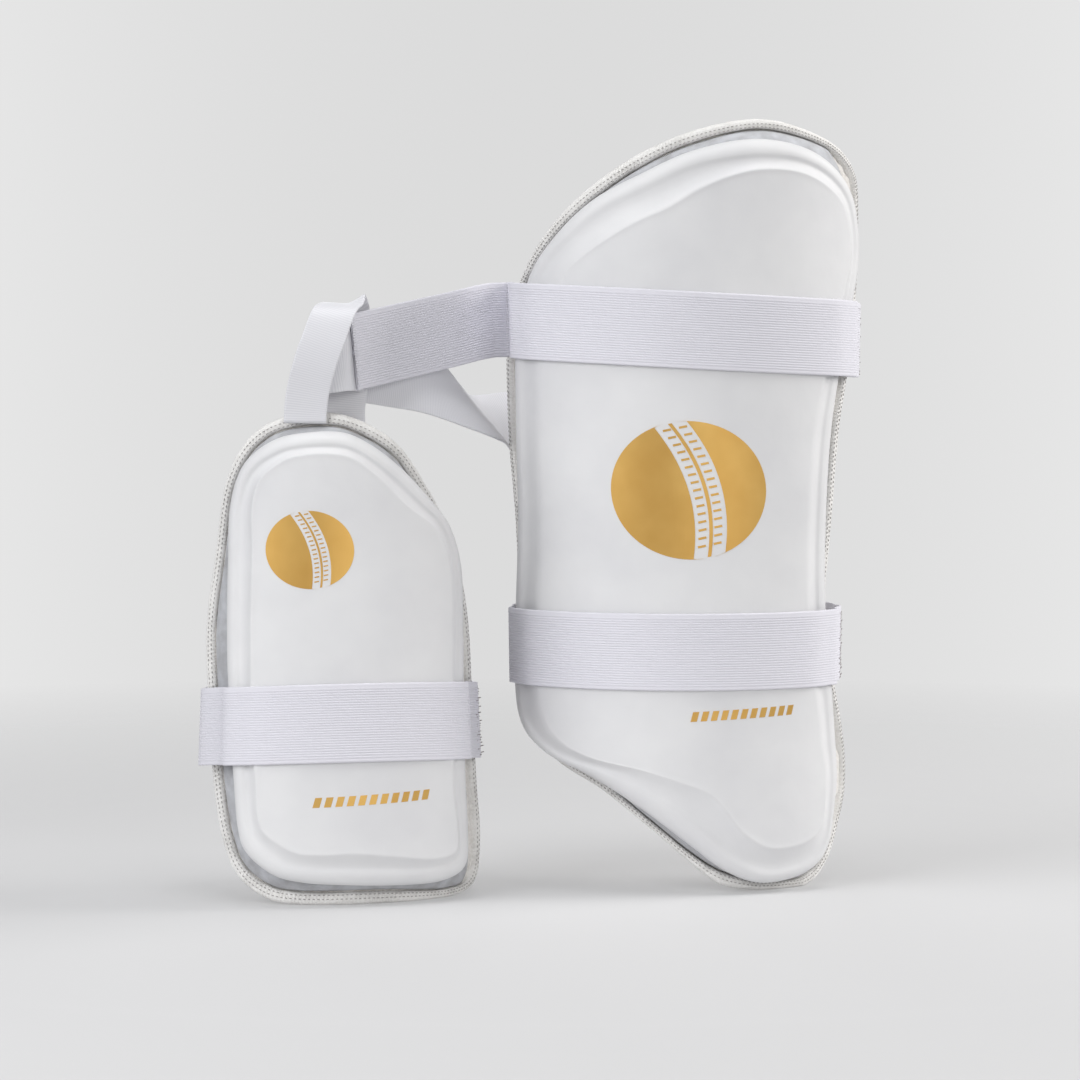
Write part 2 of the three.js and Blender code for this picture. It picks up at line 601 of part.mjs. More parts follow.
const alongSeam = (row) => uprightAt(
  seamPoint.clone().addScaledVector(linkHeading, row.along * strapWidth).add(behindLink));
const behindOuter = (row) => new THREE.Vector3(
  outer.axisX + row.radiusX * outer.skinTop,
  outer.axisY + row.radiusY * outer.skinTop + leanAt(row.up * outer.height),
  row.up * outer.height,
);
const tapeRows = [
  ...seamTable.map(alongSeam),
  ...turnTable.map((row) => ({ at: beside(seat, row), across: across(row) })),
  ...wayTable.map((row) => ({
    at: beside(seat.clone().lerp(leftFold, row.share), row),
    across: across(row),
  })),
  ...behindTable.map((row) => ({ at: behindOuter(row), across: across(row) })),
  ...rightTable.map((row) => uprightAt(
    beside(rightFold, { x: row.x, y: 0.5 - lapDepth / strapWidth }))),
];
const beltTape = ribbonSections(tapeRows, strapWidth, ribbonSteps.tape, 1);
addPiece("belt_tape", loftStrap(beltTape, tapeThickness, false), finishes.smoothTape);

// Hanging loop: front leg on the hem's top, over the belt, back leg down behind the pad
const lies = {
  sideways: new THREE.Vector3(1, 0, 0),
  alongPad: new THREE.Vector3(0.974, 0.225, 0),
  alongBelt: new THREE.Vector3(0.8, 0.6, 0),
};
const loopTable = [
  { x: -0.5, y: -0.1875, z: 0.05 + lap / strapWidth, lies: "sideways" },
  { x: -0.4625, y: -0.3625, z: 0.3, lies: "sideways" },
  { x: -0.375, y: -0.42, z: 0.65, lies: "sideways" },
  { x: -0.25, y: -0.4125, z: 1, lies: "sideways" },
  { x: -0.15, y: -0.3375, z: 1.2625, lies: "sideways" },
  { x: -0.0625, y: -0.175, z: 1.375, lies: "sideways" },
  { x: 0.025, y: 0.0125, z: 1.375, lies: "alongBelt" },
  { x: 0.0875, y: 0.15, z: 1.2375, lies: "alongBelt" },
  { x: 0.0625, y: 0.16, z: 0.85, lies: "alongBelt" },
  { x: 0.0125, y: 0.13, z: 0.4, lies: "alongPad" },
  { x: -0.0225, y: 0.1075, z: 0.075, lies: "alongPad" },
  { x: -0.0225, y: 0.1025, z: -0.175, lies: "alongPad" },
  { x: -0.0125, y: 0.055, z: -0.475, lies: "alongPad" },
  { x: -0.0125, y: 0.0475, z: -0.65, lies: "alongPad" },
];
const loopRows = loopTable.map((row) => ({ at: beside(seat, row), across: lies[row.lies] }));
const hangingLoop = ribbonSections(loopRows, loopWidth, ribbonSteps.loop, 1);
addPiece("hanging_loop", loftStrap(hangingLoop, loopThickness, false), finishes.smoothTape);

// Set the origin under the middle of the whole set
const extent = new THREE.Box3().setFromObject(assembly);
const middle = extent.getCenter(new THREE.Vector3());
assembly.position.set(-middle.x, -middle.y, -extent.min.z);

export default assembly;
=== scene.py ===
"""Cricket thigh guard set: a large outer guard and a small inner guard on one waist belt.

Each guard is a moulded foam shell on a towelling back pad, with a cloth gusset between them
and an overlocked hem round the edge. Ribbed elastic straps go round the legs, and the waist
belt runs from the outer guard to a hanging loop on the inner one. Shapes are worked out in
millimetres in the part's own places and written to the meshes in metres.
"""

import math
from collections import namedtuple

import bpy
import numpy as np
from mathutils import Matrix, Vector, noise


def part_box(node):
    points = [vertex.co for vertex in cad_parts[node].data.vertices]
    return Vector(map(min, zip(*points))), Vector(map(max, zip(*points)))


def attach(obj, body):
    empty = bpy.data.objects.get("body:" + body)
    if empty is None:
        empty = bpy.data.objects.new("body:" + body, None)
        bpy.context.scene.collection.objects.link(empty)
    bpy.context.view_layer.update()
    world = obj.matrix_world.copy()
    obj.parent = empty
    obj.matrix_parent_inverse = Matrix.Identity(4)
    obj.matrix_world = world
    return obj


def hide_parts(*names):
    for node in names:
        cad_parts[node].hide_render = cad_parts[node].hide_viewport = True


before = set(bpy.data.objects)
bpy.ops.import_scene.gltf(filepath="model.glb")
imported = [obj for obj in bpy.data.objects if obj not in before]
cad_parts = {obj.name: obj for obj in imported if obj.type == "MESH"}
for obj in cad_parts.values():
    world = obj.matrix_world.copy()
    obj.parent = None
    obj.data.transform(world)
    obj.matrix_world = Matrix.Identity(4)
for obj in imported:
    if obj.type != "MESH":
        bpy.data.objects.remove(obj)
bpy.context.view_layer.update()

bl_info = {
    "name": "Cricket thigh guard set",
    "version": (1, 0, 0),
    "blender": (4, 5, 0),
    "location": "3D View > Sidebar > Thigh guard",
    "description": "Builds an outer and an inner thigh guard, their straps and their waist belt",
    "category": "Add Mesh",
}

MM = 0.001

Row = namedtuple("Row", "hem_turn hem_up shell_turn shell_up")
Crest = namedtuple("Crest", "row inset roll crisp")


# Curves

def closed_spline(points, per_row):
    """Points of a Catmull-Rom curve through a closed list of rows."""
    points = np.asarray(points, float)
    before, after, beyond = (np.roll(points, k, axis=0)[:, None] for k in (1, -1, -2))
    here = points[:, None]
    t = (np.arange(per_row) / per_row)[None, :, None]
    leave, arrive = (after - before) / 2, (beyond - here) / 2
    curve = ((2 * t**3 - 3 * t**2 + 1) * here + (t**3 - 2 * t**2 + t) * leave
             + (3 * t**2 - 2 * t**3) * after + (t**3 - t**2) * arrive)
    return curve.reshape(-1, points.shape[1])


def through(points, per_gap, closed=False, centripetal=True):
    """Catmull-Rom curve through points, with per_gap steps between neighbours."""
    points = np.asarray(points, float)
    if closed:
        padded = np.vstack([points[-1], points, points[0], points[1]])
    else:
        padded = np.vstack([2 * points[0] - points[1], points, 2 * points[-1] - points[-2]])
    p0, p1, p2, p3 = (padded[k:len(padded) - 3 + k][:, None] for k in range(4))
    if centripetal:
        a, b, c = (np.maximum(np.linalg.norm(q - p, axis=-1, keepdims=True) ** 0.5, 1e-4)
                   for p, q in ((p0, p1), (p1, p2), (p2, p3)))
        leave = ((p1 - p0) / a - (p2 - p0) / (a + b) + (p2 - p1) / b) * b
        arrive = ((p2 - p1) / b - (p3 - p1) / (b + c) + (p3 - p2) / c) * b
    else:
        leave, arrive = (p2 - p0) / 2, (p3 - p1) / 2
    t = (np.arange(per_gap) / per_gap)[None, :, None]
    curve = ((2 * t**3 - 3 * t**2 + 1) * p1 + (t**3 - 2 * t**2 + t) * leave
             + (3 * t**2 - 2 * t**3) * p2 + (t**3 - t**2) * arrive)
    curve = curve.reshape(-1, points.shape[1])
    return curve if closed else np.vstack([curve, points[-1]])


def lengths_along(points):
    """Length from the first point to each point of a line."""
    steps = np.linalg.norm(np.diff(points, axis=0), axis=1)
    return np.concatenate([[0], np.cumsum(steps)])


def evenly(points, spacing, closed=False):
    """Sections (low and high corners side by side) spaced evenly along their middles."""
    if closed:
        points = np.vstack([points, points[:1]])
    along = lengths_along((points[:, :3] + points[:, 3:]) / 2)
    count = max(int(round(along[-1] / spacing)), 4)
    wanted = np.linspace(0, along[-1], count + 1)
    even = np.stack([np.interp(wanted, along, column) for column in points.T], -1)
    return (even[:-1], wanted[:-1]) if closed else (even, wanted)


def unit(vectors):
    vectors = np.asarray(vectors, float)
    return vectors / np.maximum(np.linalg.norm(vectors, axis=-1, keepdims=True), 1e-9)


def smooth_step(low, high, value):
    t = np.clip((np.asarray(value, float) - low) / (high - low), 0, 1)
    return t * t * (3 - 2 * t)


def soft_noise(points, size, seed=0.0):
    """Smooth noise from -1 to 1 at points in mm, with bumps of a size in mm."""
    flat = np.asarray(points, float).reshape(-1, 3) / size
    values = [noise.noise(Vector((p[0] + seed, p[1] - seed, p[2] + 2 * seed))) for p in flat]
    return np.array(values).reshape(np.shape(points)[:-1])


# Guards

LEAN_BACK = 1.3  # Degrees by which both guards lean back over their feet


def lean_at(height):
    """How far back a height over the floor lies, in the same unit."""
    return np.asarray(height, float) * math.tan(math.radians(LEAN_BACK))


class Guard:
    """A guard's cone, outline, spine and the lie of its layers, in millimetres."""

    def __init__(self, name, height, skin_foot, skin_top, wrap, axis, yaw, spine, rows, crests):
        self.name = name
        self.height = height
        self.skin_foot = skin_foot
        self.skin_top = skin_top
        self.wrap = math.radians(wrap)
        self.axis = axis
        self.yaw = math.radians(yaw)
        self.spine = spine
        self.rows = rows
        self.crests = crests

    def pattern_radius(self, sizes):
        return (self.skin_foot + self.skin_top) / 2 + sizes.pad

    def flat_point(self, sizes, turn, up):
        arc = self.wrap * np.asarray(turn, float) * self.pattern_radius(sizes)
        return np.stack([arc, np.asarray(up, float) * self.height], -1)

    def turn_of(self, sizes, flat):
        return flat[..., 0] / self.pattern_radius(sizes) + self.yaw

    def place(self, sizes, flat, out):
        flat = np.asarray(flat, float)
        turn = self.turn_of(sizes, flat)
        rise = flat[..., 1] / self.height
        radius = self.skin_foot + (self.skin_top - self.skin_foot) * rise + out
        return np.stack([self.axis[0] + radius * np.sin(turn),
                         self.axis[1] - radius * np.cos(turn) + lean_at(flat[..., 1]),
                         flat[..., 1] + 0 * turn], -1)


OUTER = Guard(
    "outer", height=405, skin_foot=81, skin_top=88, wrap=80, axis=(79, 100), yaw=0,
    spine=((0.33, 0.19), (0.12, 0.8)),
    rows=[
        Row(0.34, 0.0, 0.31, 0.013), Row(0.575, 0.0, 0.5, 0.022),
        Row(0.725, 0.022, 0.605, 0.05), Row(0.86, 0.072, 0.65, 0.104),
        Row(0.97, 0.14, 0.665, 0.158), Row(0.79, 0.264, 0.625, 0.267),
        Row(0.7, 0.37, 0.585, 0.37), Row(0.74, 0.48, 0.58, 0.48),
        Row(0.8, 0.605, 0.605, 0.605), Row(0.94, 0.715, 0.675, 0.715),
        Row(1.05, 0.815, 0.755, 0.815), Row(1.02, 0.908, 0.725, 0.889),
        Row(0.825, 0.955, 0.625, 0.933), Row(0.575, 0.984, 0.46, 0.963),
        Row(0.31, 1.0, 0.25, 0.973), Row(0.04, 0.985, 0.03, 0.958),
        Row(-0.18, 0.955, -0.16, 0.928), Row(-0.38, 0.915, -0.34, 0.895),
        Row(-0.57, 0.868, -0.5, 0.848), Row(-0.75, 0.812, -0.625, 0.795),
        Row(-0.96, 0.725, -0.7, 0.716), Row(-0.97, 0.6, -0.71, 0.6),
        Row(-0.89, 0.48, -0.706, 0.48), Row(-0.87, 0.36, -0.73, 0.36),
        Row(-0.86, 0.27, -0.742, 0.264), Row(-0.78, 0.203, -0.7, 0.212),
        Row(-0.575, 0.162, -0.565, 0.177), Row(-0.35, 0.13, -0.36, 0.15),
        Row(-0.125, 0.079, -0.16, 0.11), Row(0.03, 0.038, 0.01, 0.067),
        Row(0.16, 0.01, 0.16, 0.03),
    ],
    crests=[
        Crest(0, 19, 5, 0.75), Crest(1.5, 18.5, 6, 0.6), Crest(4, 18, 8, 0.1),
        Crest(8, 18, 8, 0.0), Crest(11.5, 15.5, 7, 0.2), Crest(13, 15.5, 7, 0.8),
        Crest(14, 17, 8, 1.0), Crest(15, 19.5, 6.5, 1.0), Crest(16, 22, 7, 1.0),
        Crest(17.4, 25, 8, 0.9), Crest(19, 26, 8, 0.4), Crest(21, 24, 8, 0.0),
        Crest(25, 26, 9, 0.1), Crest(27, 29, 11, 0.6), Crest(28.4, 28, 11, 0.8),
        Crest(29.6, 22, 7.5, 0.8),
    ],
)

INNER = Guard(
    "inner", height=252, skin_foot=80, skin_top=67, wrap=60, axis=(-112, 52), yaw=15,
    spine=((-0.02, 0.26), (-0.1, 0.74)),
    rows=[
        Row(-0.13, 0.0, -0.1, 0.045), Row(-0.33, 0.0, -0.3, 0.05),
        Row(-0.52, 0.01, -0.46, 0.065), Row(-0.69, 0.048, -0.6, 0.107),
        Row(-0.8, 0.11, -0.65, 0.153), Row(-0.89, 0.22, -0.68, 0.246),
        Row(-0.97, 0.417, -0.725, 0.43), Row(-1.005, 0.56, -0.745, 0.56),
        Row(-0.95, 0.706, -0.75, 0.7), Row(-0.89, 0.845, -0.745, 0.813),
        Row(-0.758, 0.931, -0.667, 0.897), Row(-0.583, 0.978, -0.493, 0.946),
        Row(-0.35, 1.0, -0.3, 0.962), Row(-0.1, 1.0, -0.08, 0.962),
        Row(0.133, 0.974, 0.092, 0.934), Row(0.333, 0.93, 0.267, 0.887),
        Row(0.52, 0.855, 0.433, 0.829), Row(0.68, 0.785, 0.58, 0.77),
        Row(0.84, 0.69, 0.665, 0.68), Row(0.95, 0.555, 0.66, 0.555),
        Row(0.955, 0.4, 0.64, 0.4), Row(0.955, 0.254, 0.63, 0.246),
        Row(0.97, 0.11, 0.63, 0.13), Row(0.867, 0.024, 0.6, 0.066),
        Row(0.6, 0.0, 0.45, 0.042), Row(0.25, 0.0, 0.2, 0.04),
    ],
    crests=[
        Crest(0, 17, 7, 0.45), Crest(2.6, 16.4, 7, 0.7), Crest(4.4, 12.8, 6, 0.9),
        Crest(6.5, 15.2, 6, 1.0), Crest(8.4, 16.4, 6, 1.0), Crest(9.5, 15.4, 6, 1.0),
        Crest(11, 12.3, 6, 1.0), Crest(12.1, 10.8, 5.5, 1.0), Crest(13.5, 12, 6, 0.8),
        Crest(15.5, 15, 7, 0.4), Crest(19, 14, 7, 0.1), Crest(23, 15, 8, 0.3),
        Crest(24.5, 17, 8, 0.35),
    ],
)

Layers = namedtuple("Layers", "pad hem_width hem_lip gusset_depth gusset_width shell_wall lip_wall "
                              "plateau seam strap_width elastic tape loop_width")


def layers(context):
    """The layer and strap sizes in millimetres, from the panel's values in metres."""
    chosen = context.scene.guard_sizes
    return Layers(*(getattr(chosen, name) / MM for name in Layers._fields))


def gusset_back(sizes):
    return sizes.pad + sizes.seam


def gusset_front(sizes):
    return gusset_back(sizes) + sizes.gusset_depth


def lip_out(sizes):
    return gusset_front(sizes) + sizes.seam


def rim_out(sizes):
    return lip_out(sizes) + sizes.shell_wall


def hem_front(sizes):
    return sizes.pad + sizes.hem_lip


class Spokes:
    """Spokes round a guard: from the hem's edge to the shell's edge and on to the spine."""

    def __init__(self, guard, sizes, per_row):
        self.guard = guard
        self.sizes = sizes
        self.per_row = per_row
        table = np.array(guard.rows)
        hem = closed_spline(guard.flat_point(sizes, table[:, 0], table[:, 1]), per_row)
        shell = closed_spline(guard.flat_point(sizes, table[:, 2], table[:, 3]), per_row)
        hem[:, 1] = np.maximum(hem[:, 1], 0)
        shell[:, 1] = np.maximum(shell[:, 1], 0)
        foot, top = (guard.flat_point(sizes, *end) for end in guard.spine)
        share = np.clip((shell[:, 1] - foot[1]) / (top[1] - foot[1]), 0, 1)[:, None]
        self.hem = hem
        self.shell = shell
        self.spine = foot + (top - foot) * share
        self.rim = np.linalg.norm(shell - hem, axis=1)
        self.reach = np.linalg.norm(self.spine - shell, axis=1)
        self.middle = (foot + top) / 2

    def __len__(self):
        return len(self.hem)

    def walk(self, distance):
        """Flat points at a distance inward from the hem's edge, one for each spoke."""
        distance = np.broadcast_to(np.asarray(distance, float), self.rim.shape)
        near = self.hem + (self.shell - self.hem) * (distance / self.rim)[:, None]
        share = np.clip((distance - self.rim) / self.reach, 0, 1)[:, None]
        far = self.shell + (self.spine - self.shell) * share
        return np.where((distance <= self.rim)[:, None], near, far)

    def ring(self, distance, out):
        return self.guard.place(self.sizes, self.walk(distance), out)

    def crest_values(self, field):
        """One field of the crest table, spread smoothly over the spokes."""
        places = [crest.row for crest in self.guard.crests]
        values = [getattr(crest, field) for crest in self.guard.crests]
        count = len(self.guard.rows)
        at = np.arange(len(self)) / self.per_row
        spread = np.interp(at, places, values, period=count)
        window = np.hanning(self.per_row + 3)
        window /= window.sum()
        half = len(window) // 2
        wrapped = np.concatenate([spread[-half:], spread, spread[:half]])
        return np.convolve(wrapped, window, mode="same")[half:half + len(spread)]


def set_shift(sizes):
    """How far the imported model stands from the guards' own places, from the outer hem's box."""
    spokes = Spokes(OUTER, sizes, 2)
    profile = hem_profile(sizes)
    points = np.vstack([spokes.ring(inset, out) for inset, out in profile])
    low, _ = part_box("outer_hem")
    lowest = points.min(axis=0)
    return np.array([low.x / MM - lowest[0], low.y / MM - lowest[1], 0.0])


def hem_profile(sizes):
    """The hem's section as inset and out, round from its outer edge."""
    width, lip, front = sizes.hem_width, sizes.hem_lip, hem_front(sizes)
    return [(0, 1), (0, sizes.pad - 1), (lip, front), (width - lip, front),
            (width, sizes.pad), (width, 0), (width - lip, -lip), (lip, -lip)]


# Meshes

def new_piece(name, points, faces, sizes, material, replaces=(), uvs=None):
    """A mesh piece from points in mm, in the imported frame, riding on the one body."""
    world = (np.asarray(points, float) + set_shift(sizes)) * MM
    world[:, 2] = np.maximum(world[:, 2], 0)
    mesh = bpy.data.meshes.new(name)
    mesh.from_pydata(world.tolist(), [], [tuple(int(i) for i in face) for face in faces])
    if uvs is not None:
        layer = mesh.uv_layers.new(name="cloth")
        vertex_of = np.zeros(len(mesh.loops), dtype=np.int32)
        mesh.loops.foreach_get("vertex_index", vertex_of)
        layer.data.foreach_set("uv", (np.asarray(uvs, float) * MM)[vertex_of].ravel())
    mesh.validate()
    mesh.polygons.foreach_set("use_smooth", [True] * len(mesh.polygons))
    piece = bpy.data.objects.new(name, mesh)
    bpy.context.collection.objects.link(piece)
    face_outward(piece)
    piece.data.materials.append(material)
    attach(piece, "root")
    if replaces:
        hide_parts(*replaces)
    return piece


def face_outward(piece):
    """Turns the faces of a closed mesh outward, by the sign of its volume."""
    mesh = piece.data
    mesh.calc_loop_triangles()
    corners = np.zeros(len(mesh.loop_triangles) * 3, dtype=np.int32)
    mesh.loop_triangles.foreach_get("vertices", corners)
    places = np.zeros(len(mesh.vertices) * 3)
    mesh.vertices.foreach_get("co", places)
    a, b, c = places.reshape(-1, 3)[corners.reshape(-1, 3)].transpose(1, 0, 2)
    if (a * np.cross(b, c)).sum() < 0:
        mesh.flip_normals()


def ring_faces(rings, count, closed_rings):
    """Quads between neighbouring rings of count points."""
    faces = []
    for r in range(rings if closed_rings else rings - 1):
        a, b = r * count, (r + 1) % rings * count
        for i in range(count):
            j = (i + 1) % count
            faces.append((a + i, a + j, b + j, b + i))
    return faces


def fan_faces(hub, start, count, flip):
    """Triangles from a hub to a ring."""
    fan = [(hub, start + i, start + (i + 1) % count) for i in range(count)]
    return [face[::-1] for face in fan] if flip else fan


def capped_rings(rings, first_hub, last_hub):
    """Points and faces of a closed body through rings, with a fan at each end."""
    count = len(rings[0])
    points = np.vstack([*rings, first_hub[None], last_hub[None]])
    hub = len(rings) * count
    faces = ring_faces(len(rings), count, False)
    faces += fan_faces(hub, 0, count, True)
    faces += fan_faces(hub + 1, (len(rings) - 1) * count, count, False)
    return points, faces


def normals_of(grid):
    """Unit normals of a grid of points, closed along its second way."""
    along = np.roll(grid, -1, axis=1) - np.roll(grid, 1, axis=1)
    across = np.gradient(grid, axis=0)
    return unit(np.cross(along, across))


def threads(paths, normals, radius, sides=5):
    """Points and faces of round threads along paths (count, steps, 3) on a surface."""
    forward = unit(np.gradient(paths, axis=1))
    side = unit(np.cross(forward, normals))
    up = unit(np.cross(side, forward))
    angles = np.arange(sides) * 2 * math.pi / sides
    radius = np.asarray(radius, float).reshape(-1, 1, 1, 1) if np.ndim(radius) else radius
    circle = (side[:, :, None] * np.cos(angles)[:, None]
              + up[:, :, None] * np.sin(angles)[:, None]) * radius
    points = (paths[:, :, None] + circle).reshape(-1, 3)
    count, steps = paths.shape[:2]
    faces = []
    for k in range(count):
        base = k * steps * sides
        for s in range(steps - 1):
            a, b = base + s * sides, base + (s + 1) * sides
            faces += [(a + i, a + (i + 1) % sides, b + (i + 1) % sides, b + i)
                      for i in range(sides)]
        end = base + (steps - 1) * sides
        faces.append(tuple(base + i for i in reversed(range(sides))))
        faces.append(tuple(end + i for i in range(sides)))
    return points, faces


def joined(bodies):
    """Several lists of points and faces as one."""
    points, faces, start = [], [], 0
    for body_points, body_faces in bodies:
        points.append(body_points)
        faces += [tuple(start + i for i in face) for face in body_faces]
        start += len(body_points)
    return np.vstack(points), faces


# Shells

def shell_front(spokes):
    """The shell's front as rows of inset and out: rolled rim, hollow band, crest and middle."""
    sizes = spokes.sizes
    rim, reach = spokes.rim, spokes.reach
    roll = np.minimum(spokes.crest_values("roll"), 0.3 * reach)
    crest = np.minimum(spokes.crest_values("inset"), 0.62 * reach)
    crisp = spokes.crest_values("crisp")
    wall_top = lip_out(sizes) + sizes.lip_wall
    top = rim_out(sizes)
    rows = []
    for angle in np.linspace(0, math.pi / 2, 9):
        out = wall_top + (top - wall_top) * math.sin(angle)
        rows.append((rim + roll * (1 - math.cos(angle)), np.full(len(rim), out)))
    band = crest - roll
    insets = [roll + band * share for share in np.linspace(0, 1, 14)[1:]]
    insets += [crest + past for past in (0.7, 1.5, 2.6, 4.2, 6.5)]
    insets += [crest + 6.5 + (0.985 * reach - crest - 6.5) * share
               for share in np.linspace(0, 1, 14)[1:]]
    for inset in insets:
        width = band * (0.95 - 0.15 * crisp)
        share = np.clip((inset - (crest - width)) / width, 0, 1)
        rise = crisp * share**2.3 + (1 - crisp) * share**2 * (3 - 2 * share)
        hollow = 0.85 * np.exp(-((inset - roll - 0.4 * band) / (0.4 * band)) ** 2)
        bead = 0.45 * crisp * np.exp(-((inset - crest) / 1.6) ** 2)
        out = top + sizes.plateau * rise - hollow * smooth_step(0, 2.5, inset - roll) + bead
        rows.append((rim + np.minimum(inset, 0.985 * reach), out))
    return rows


def dents(guard, sizes, flat):
    """Soft unevenness of the moulded face, in mm, at flat places."""
    points = guard.place(sizes, flat, rim_out(sizes))
    return 0.42 * soft_noise(points, 75, 3.1) + 0.12 * soft_noise(points, 28, 8.4)


def make_shell(guard, sizes, material):
    spokes = Spokes(guard, sizes, 12)
    back = gusset_back(sizes)
    step = spokes.rim + sizes.gusset_width + sizes.seam
    rings = [spokes.ring(step + (spokes.rim + 0.985 * spokes.reach - step) * share, back)
             for share in np.linspace(1, 0, 9)]
    rings.append(spokes.ring(step, lip_out(sizes)))
    rings.append(spokes.ring(spokes.rim + 0.5, lip_out(sizes)))
    for distance, out in shell_front(spokes):
        flat = spokes.walk(distance)
        depth = smooth_step(0, 24, distance - spokes.rim)
        rings.append(guard.place(sizes, flat, out + dents(guard, sizes, flat) * depth))
    count = len(spokes)
    faces = ring_faces(len(rings), count, False)
    loop = spokes.walk(spokes.rim + 0.985 * spokes.reach)
    triangles = middle_faces(loop)
    last = (len(rings) - 1) * count
    faces += [tuple(last + i for i in face) for face in triangles]
    faces += [tuple(i for i in face[::-1]) for face in triangles]
    piece = new_piece(f"{guard.name}_foam_shell", np.vstack(rings), faces, sizes, material,
                      [f"{guard.name}_shell"])
    return piece


def middle_faces(loop):
    """Triangles that fill the narrow loop left round the spine, wound as the loop runs."""
    from mathutils.geometry import tessellate_polygon
    faces = tessellate_polygon([[Vector((x, y, 0)) for x, y in loop]])
    found = []
    for a, b, c in faces:
        turn = np.cross(loop[b] - loop[a], loop[c] - loop[a])
        found.append((a, b, c) if turn > 0 else (a, c, b))
    area = 0.5 * np.sum(loop[:, 0] * np.roll(loop[:, 1], -1) - loop[:, 1] * np.roll(loop[:, 0], -1))
    return found if area > 0 else [face[::-1] for face in found]


# Gussets

def make_gusset(guard, sizes, material):
    """Lining strip from beside the hem up to the shell's lip, drawn into slanting creases."""
    spokes = Spokes(guard, sizes, 20)
    back, front = gusset_back(sizes), gusset_front(sizes)
    foot = np.maximum(sizes.hem_width + 0.5, spokes.rim - 15)
    end = spokes.rim + sizes.gusset_width
    base = sizes.pad + 0.35
    rows = []
    for share in np.linspace(0, 1, 11):
        distance = foot + (spokes.rim + 1.5 - foot) * share
        out = base + (front - 0.2 - base) * math.sin(share * math.pi / 2) ** 0.8
        rows.append((distance, out, math.sin(share * math.pi) ** 0.7))
    rows.append(((spokes.rim + end) / 2, front, 0.0))
    rows.append((end, front, 0.0))
    rows.append((end, back, 0.0))
    rows.append((spokes.rim * 0.5 + end * 0.5, back - 0.2, 0.0))
    rows.append((np.maximum(foot + 1.5, spokes.rim - 3), np.full(len(spokes), base), 0.0))
    along = lengths_along(spokes.shell)
    rings = []
    for k, (distance, out, free) in enumerate(rows):
        flat = spokes.walk(distance)
        crease = 0.0
        if free:
            points = guard.place(sizes, flat, 10)
            drift = 2.2 * soft_noise(points, 22, 5.5) + 0.8 * soft_noise(points, 7, 1.2)
            wave = np.sin(2 * math.pi * (along / 6.5 + 0.09 * k + drift))
            crease = free * (0.55 * (np.abs(wave) ** 0.7 - 0.6) + 0.5 * soft_noise(points, 9, 2.5))
        rings.append(guard.place(sizes, flat, np.maximum(out + crease, base - 0.1)))
    faces = ring_faces(len(rings), len(spokes), True)
    piece = new_piece(f"{guard.name}_gusset_strip", np.vstack(rings), faces, sizes, material,
                      [f"{guard.name}_gusset"])
    middle = spokes.ring(spokes.rim + 3, front)
    return piece


# Hems

def hem_section(sizes, angle, grow=0.0):
    """Inset and out of the rounded hem at an angle from its outer edge toward its front."""
    across, deep = sizes.hem_width / 2, (sizes.pad + 2 * sizes.hem_lip) / 2
    cosine, sine = math.cos(angle), math.sin(angle)
    power = 0.6
    inset = across - (across + grow) * math.copysign(abs(cosine) ** power, cosine)
    out = sizes.pad / 2 + (deep + grow) * math.copysign(abs(sine) ** power, sine)
    return inset, out


def make_hem(guard, sizes, material):
    """Thick bound edge of the back pad, slightly lumpy between its stitches."""
    spokes = Spokes(guard, sizes, 24)
    rings = []
    for angle in np.linspace(0, 2 * math.pi, 25)[:-1]:
        inset, out = hem_section(sizes, angle)
        points = spokes.ring(inset, out)
        centre = spokes.ring(sizes.hem_width / 2, sizes.pad / 2)
        lumps = 0.28 * soft_noise(points, 5, 1.7) + 0.35 * soft_noise(points, 17, 6.1)
        rings.append(points + unit(points - centre) * (lumps - 0.15)[:, None])
    faces = ring_faces(len(rings), len(spokes), True)
    piece = new_piece(f"{guard.name}_bound_hem", np.vstack(rings), faces, sizes, material,
                      [f"{guard.name}_hem"])
    return piece


def make_overlock(guard, sizes, material):
    """Overlock threads that wrap the hem, one slanting loop every few millimetres."""
    pitch, radius = 1.7, 0.17
    spokes = Spokes(guard, sizes, 24)
    edge = spokes.ring(0, sizes.pad / 2)
    along = lengths_along(np.vstack([edge, edge[:1]]))
    count = int(along[-1] / pitch)
    starts = np.interp(np.arange(count) * along[-1] / count, along, np.arange(len(along)))
    spread = len(edge) / count
    angles = np.radians([150, 125, 95, 60, 25, -25, -60, -95, -125, -150])
    centre = np.vstack([spokes.ring(sizes.hem_width / 2, sizes.pad / 2)] * 2)
    paths, ups = [], []
    rng = np.random.default_rng(11)
    jitter = rng.normal(0, 0.1, count)
    for step, angle in enumerate(angles):
        inset, out = hem_section(sizes, angle, 0.02)
        ring = np.vstack([spokes.ring(inset, out)] * 2)
        at = starts + spread * (0.75 * abs(step - 4.5) / 4.5 + jitter) + len(edge) * 0.0
        at = np.clip(at, 0, len(ring) - 1.01)
        low = at.astype(int)
        share = (at - low)[:, None]
        point = ring[low] * (1 - share) + ring[low + 1] * share
        middle = centre[low] * (1 - share) + centre[low + 1] * share
        paths.append(point)
        ups.append(unit(point - middle))
    points, faces = threads(np.stack(paths, 1), np.stack(ups, 1), radius, sides=4)
    piece = new_piece(f"{guard.name}_overlock_threads", points, faces, sizes, material)
    return piece


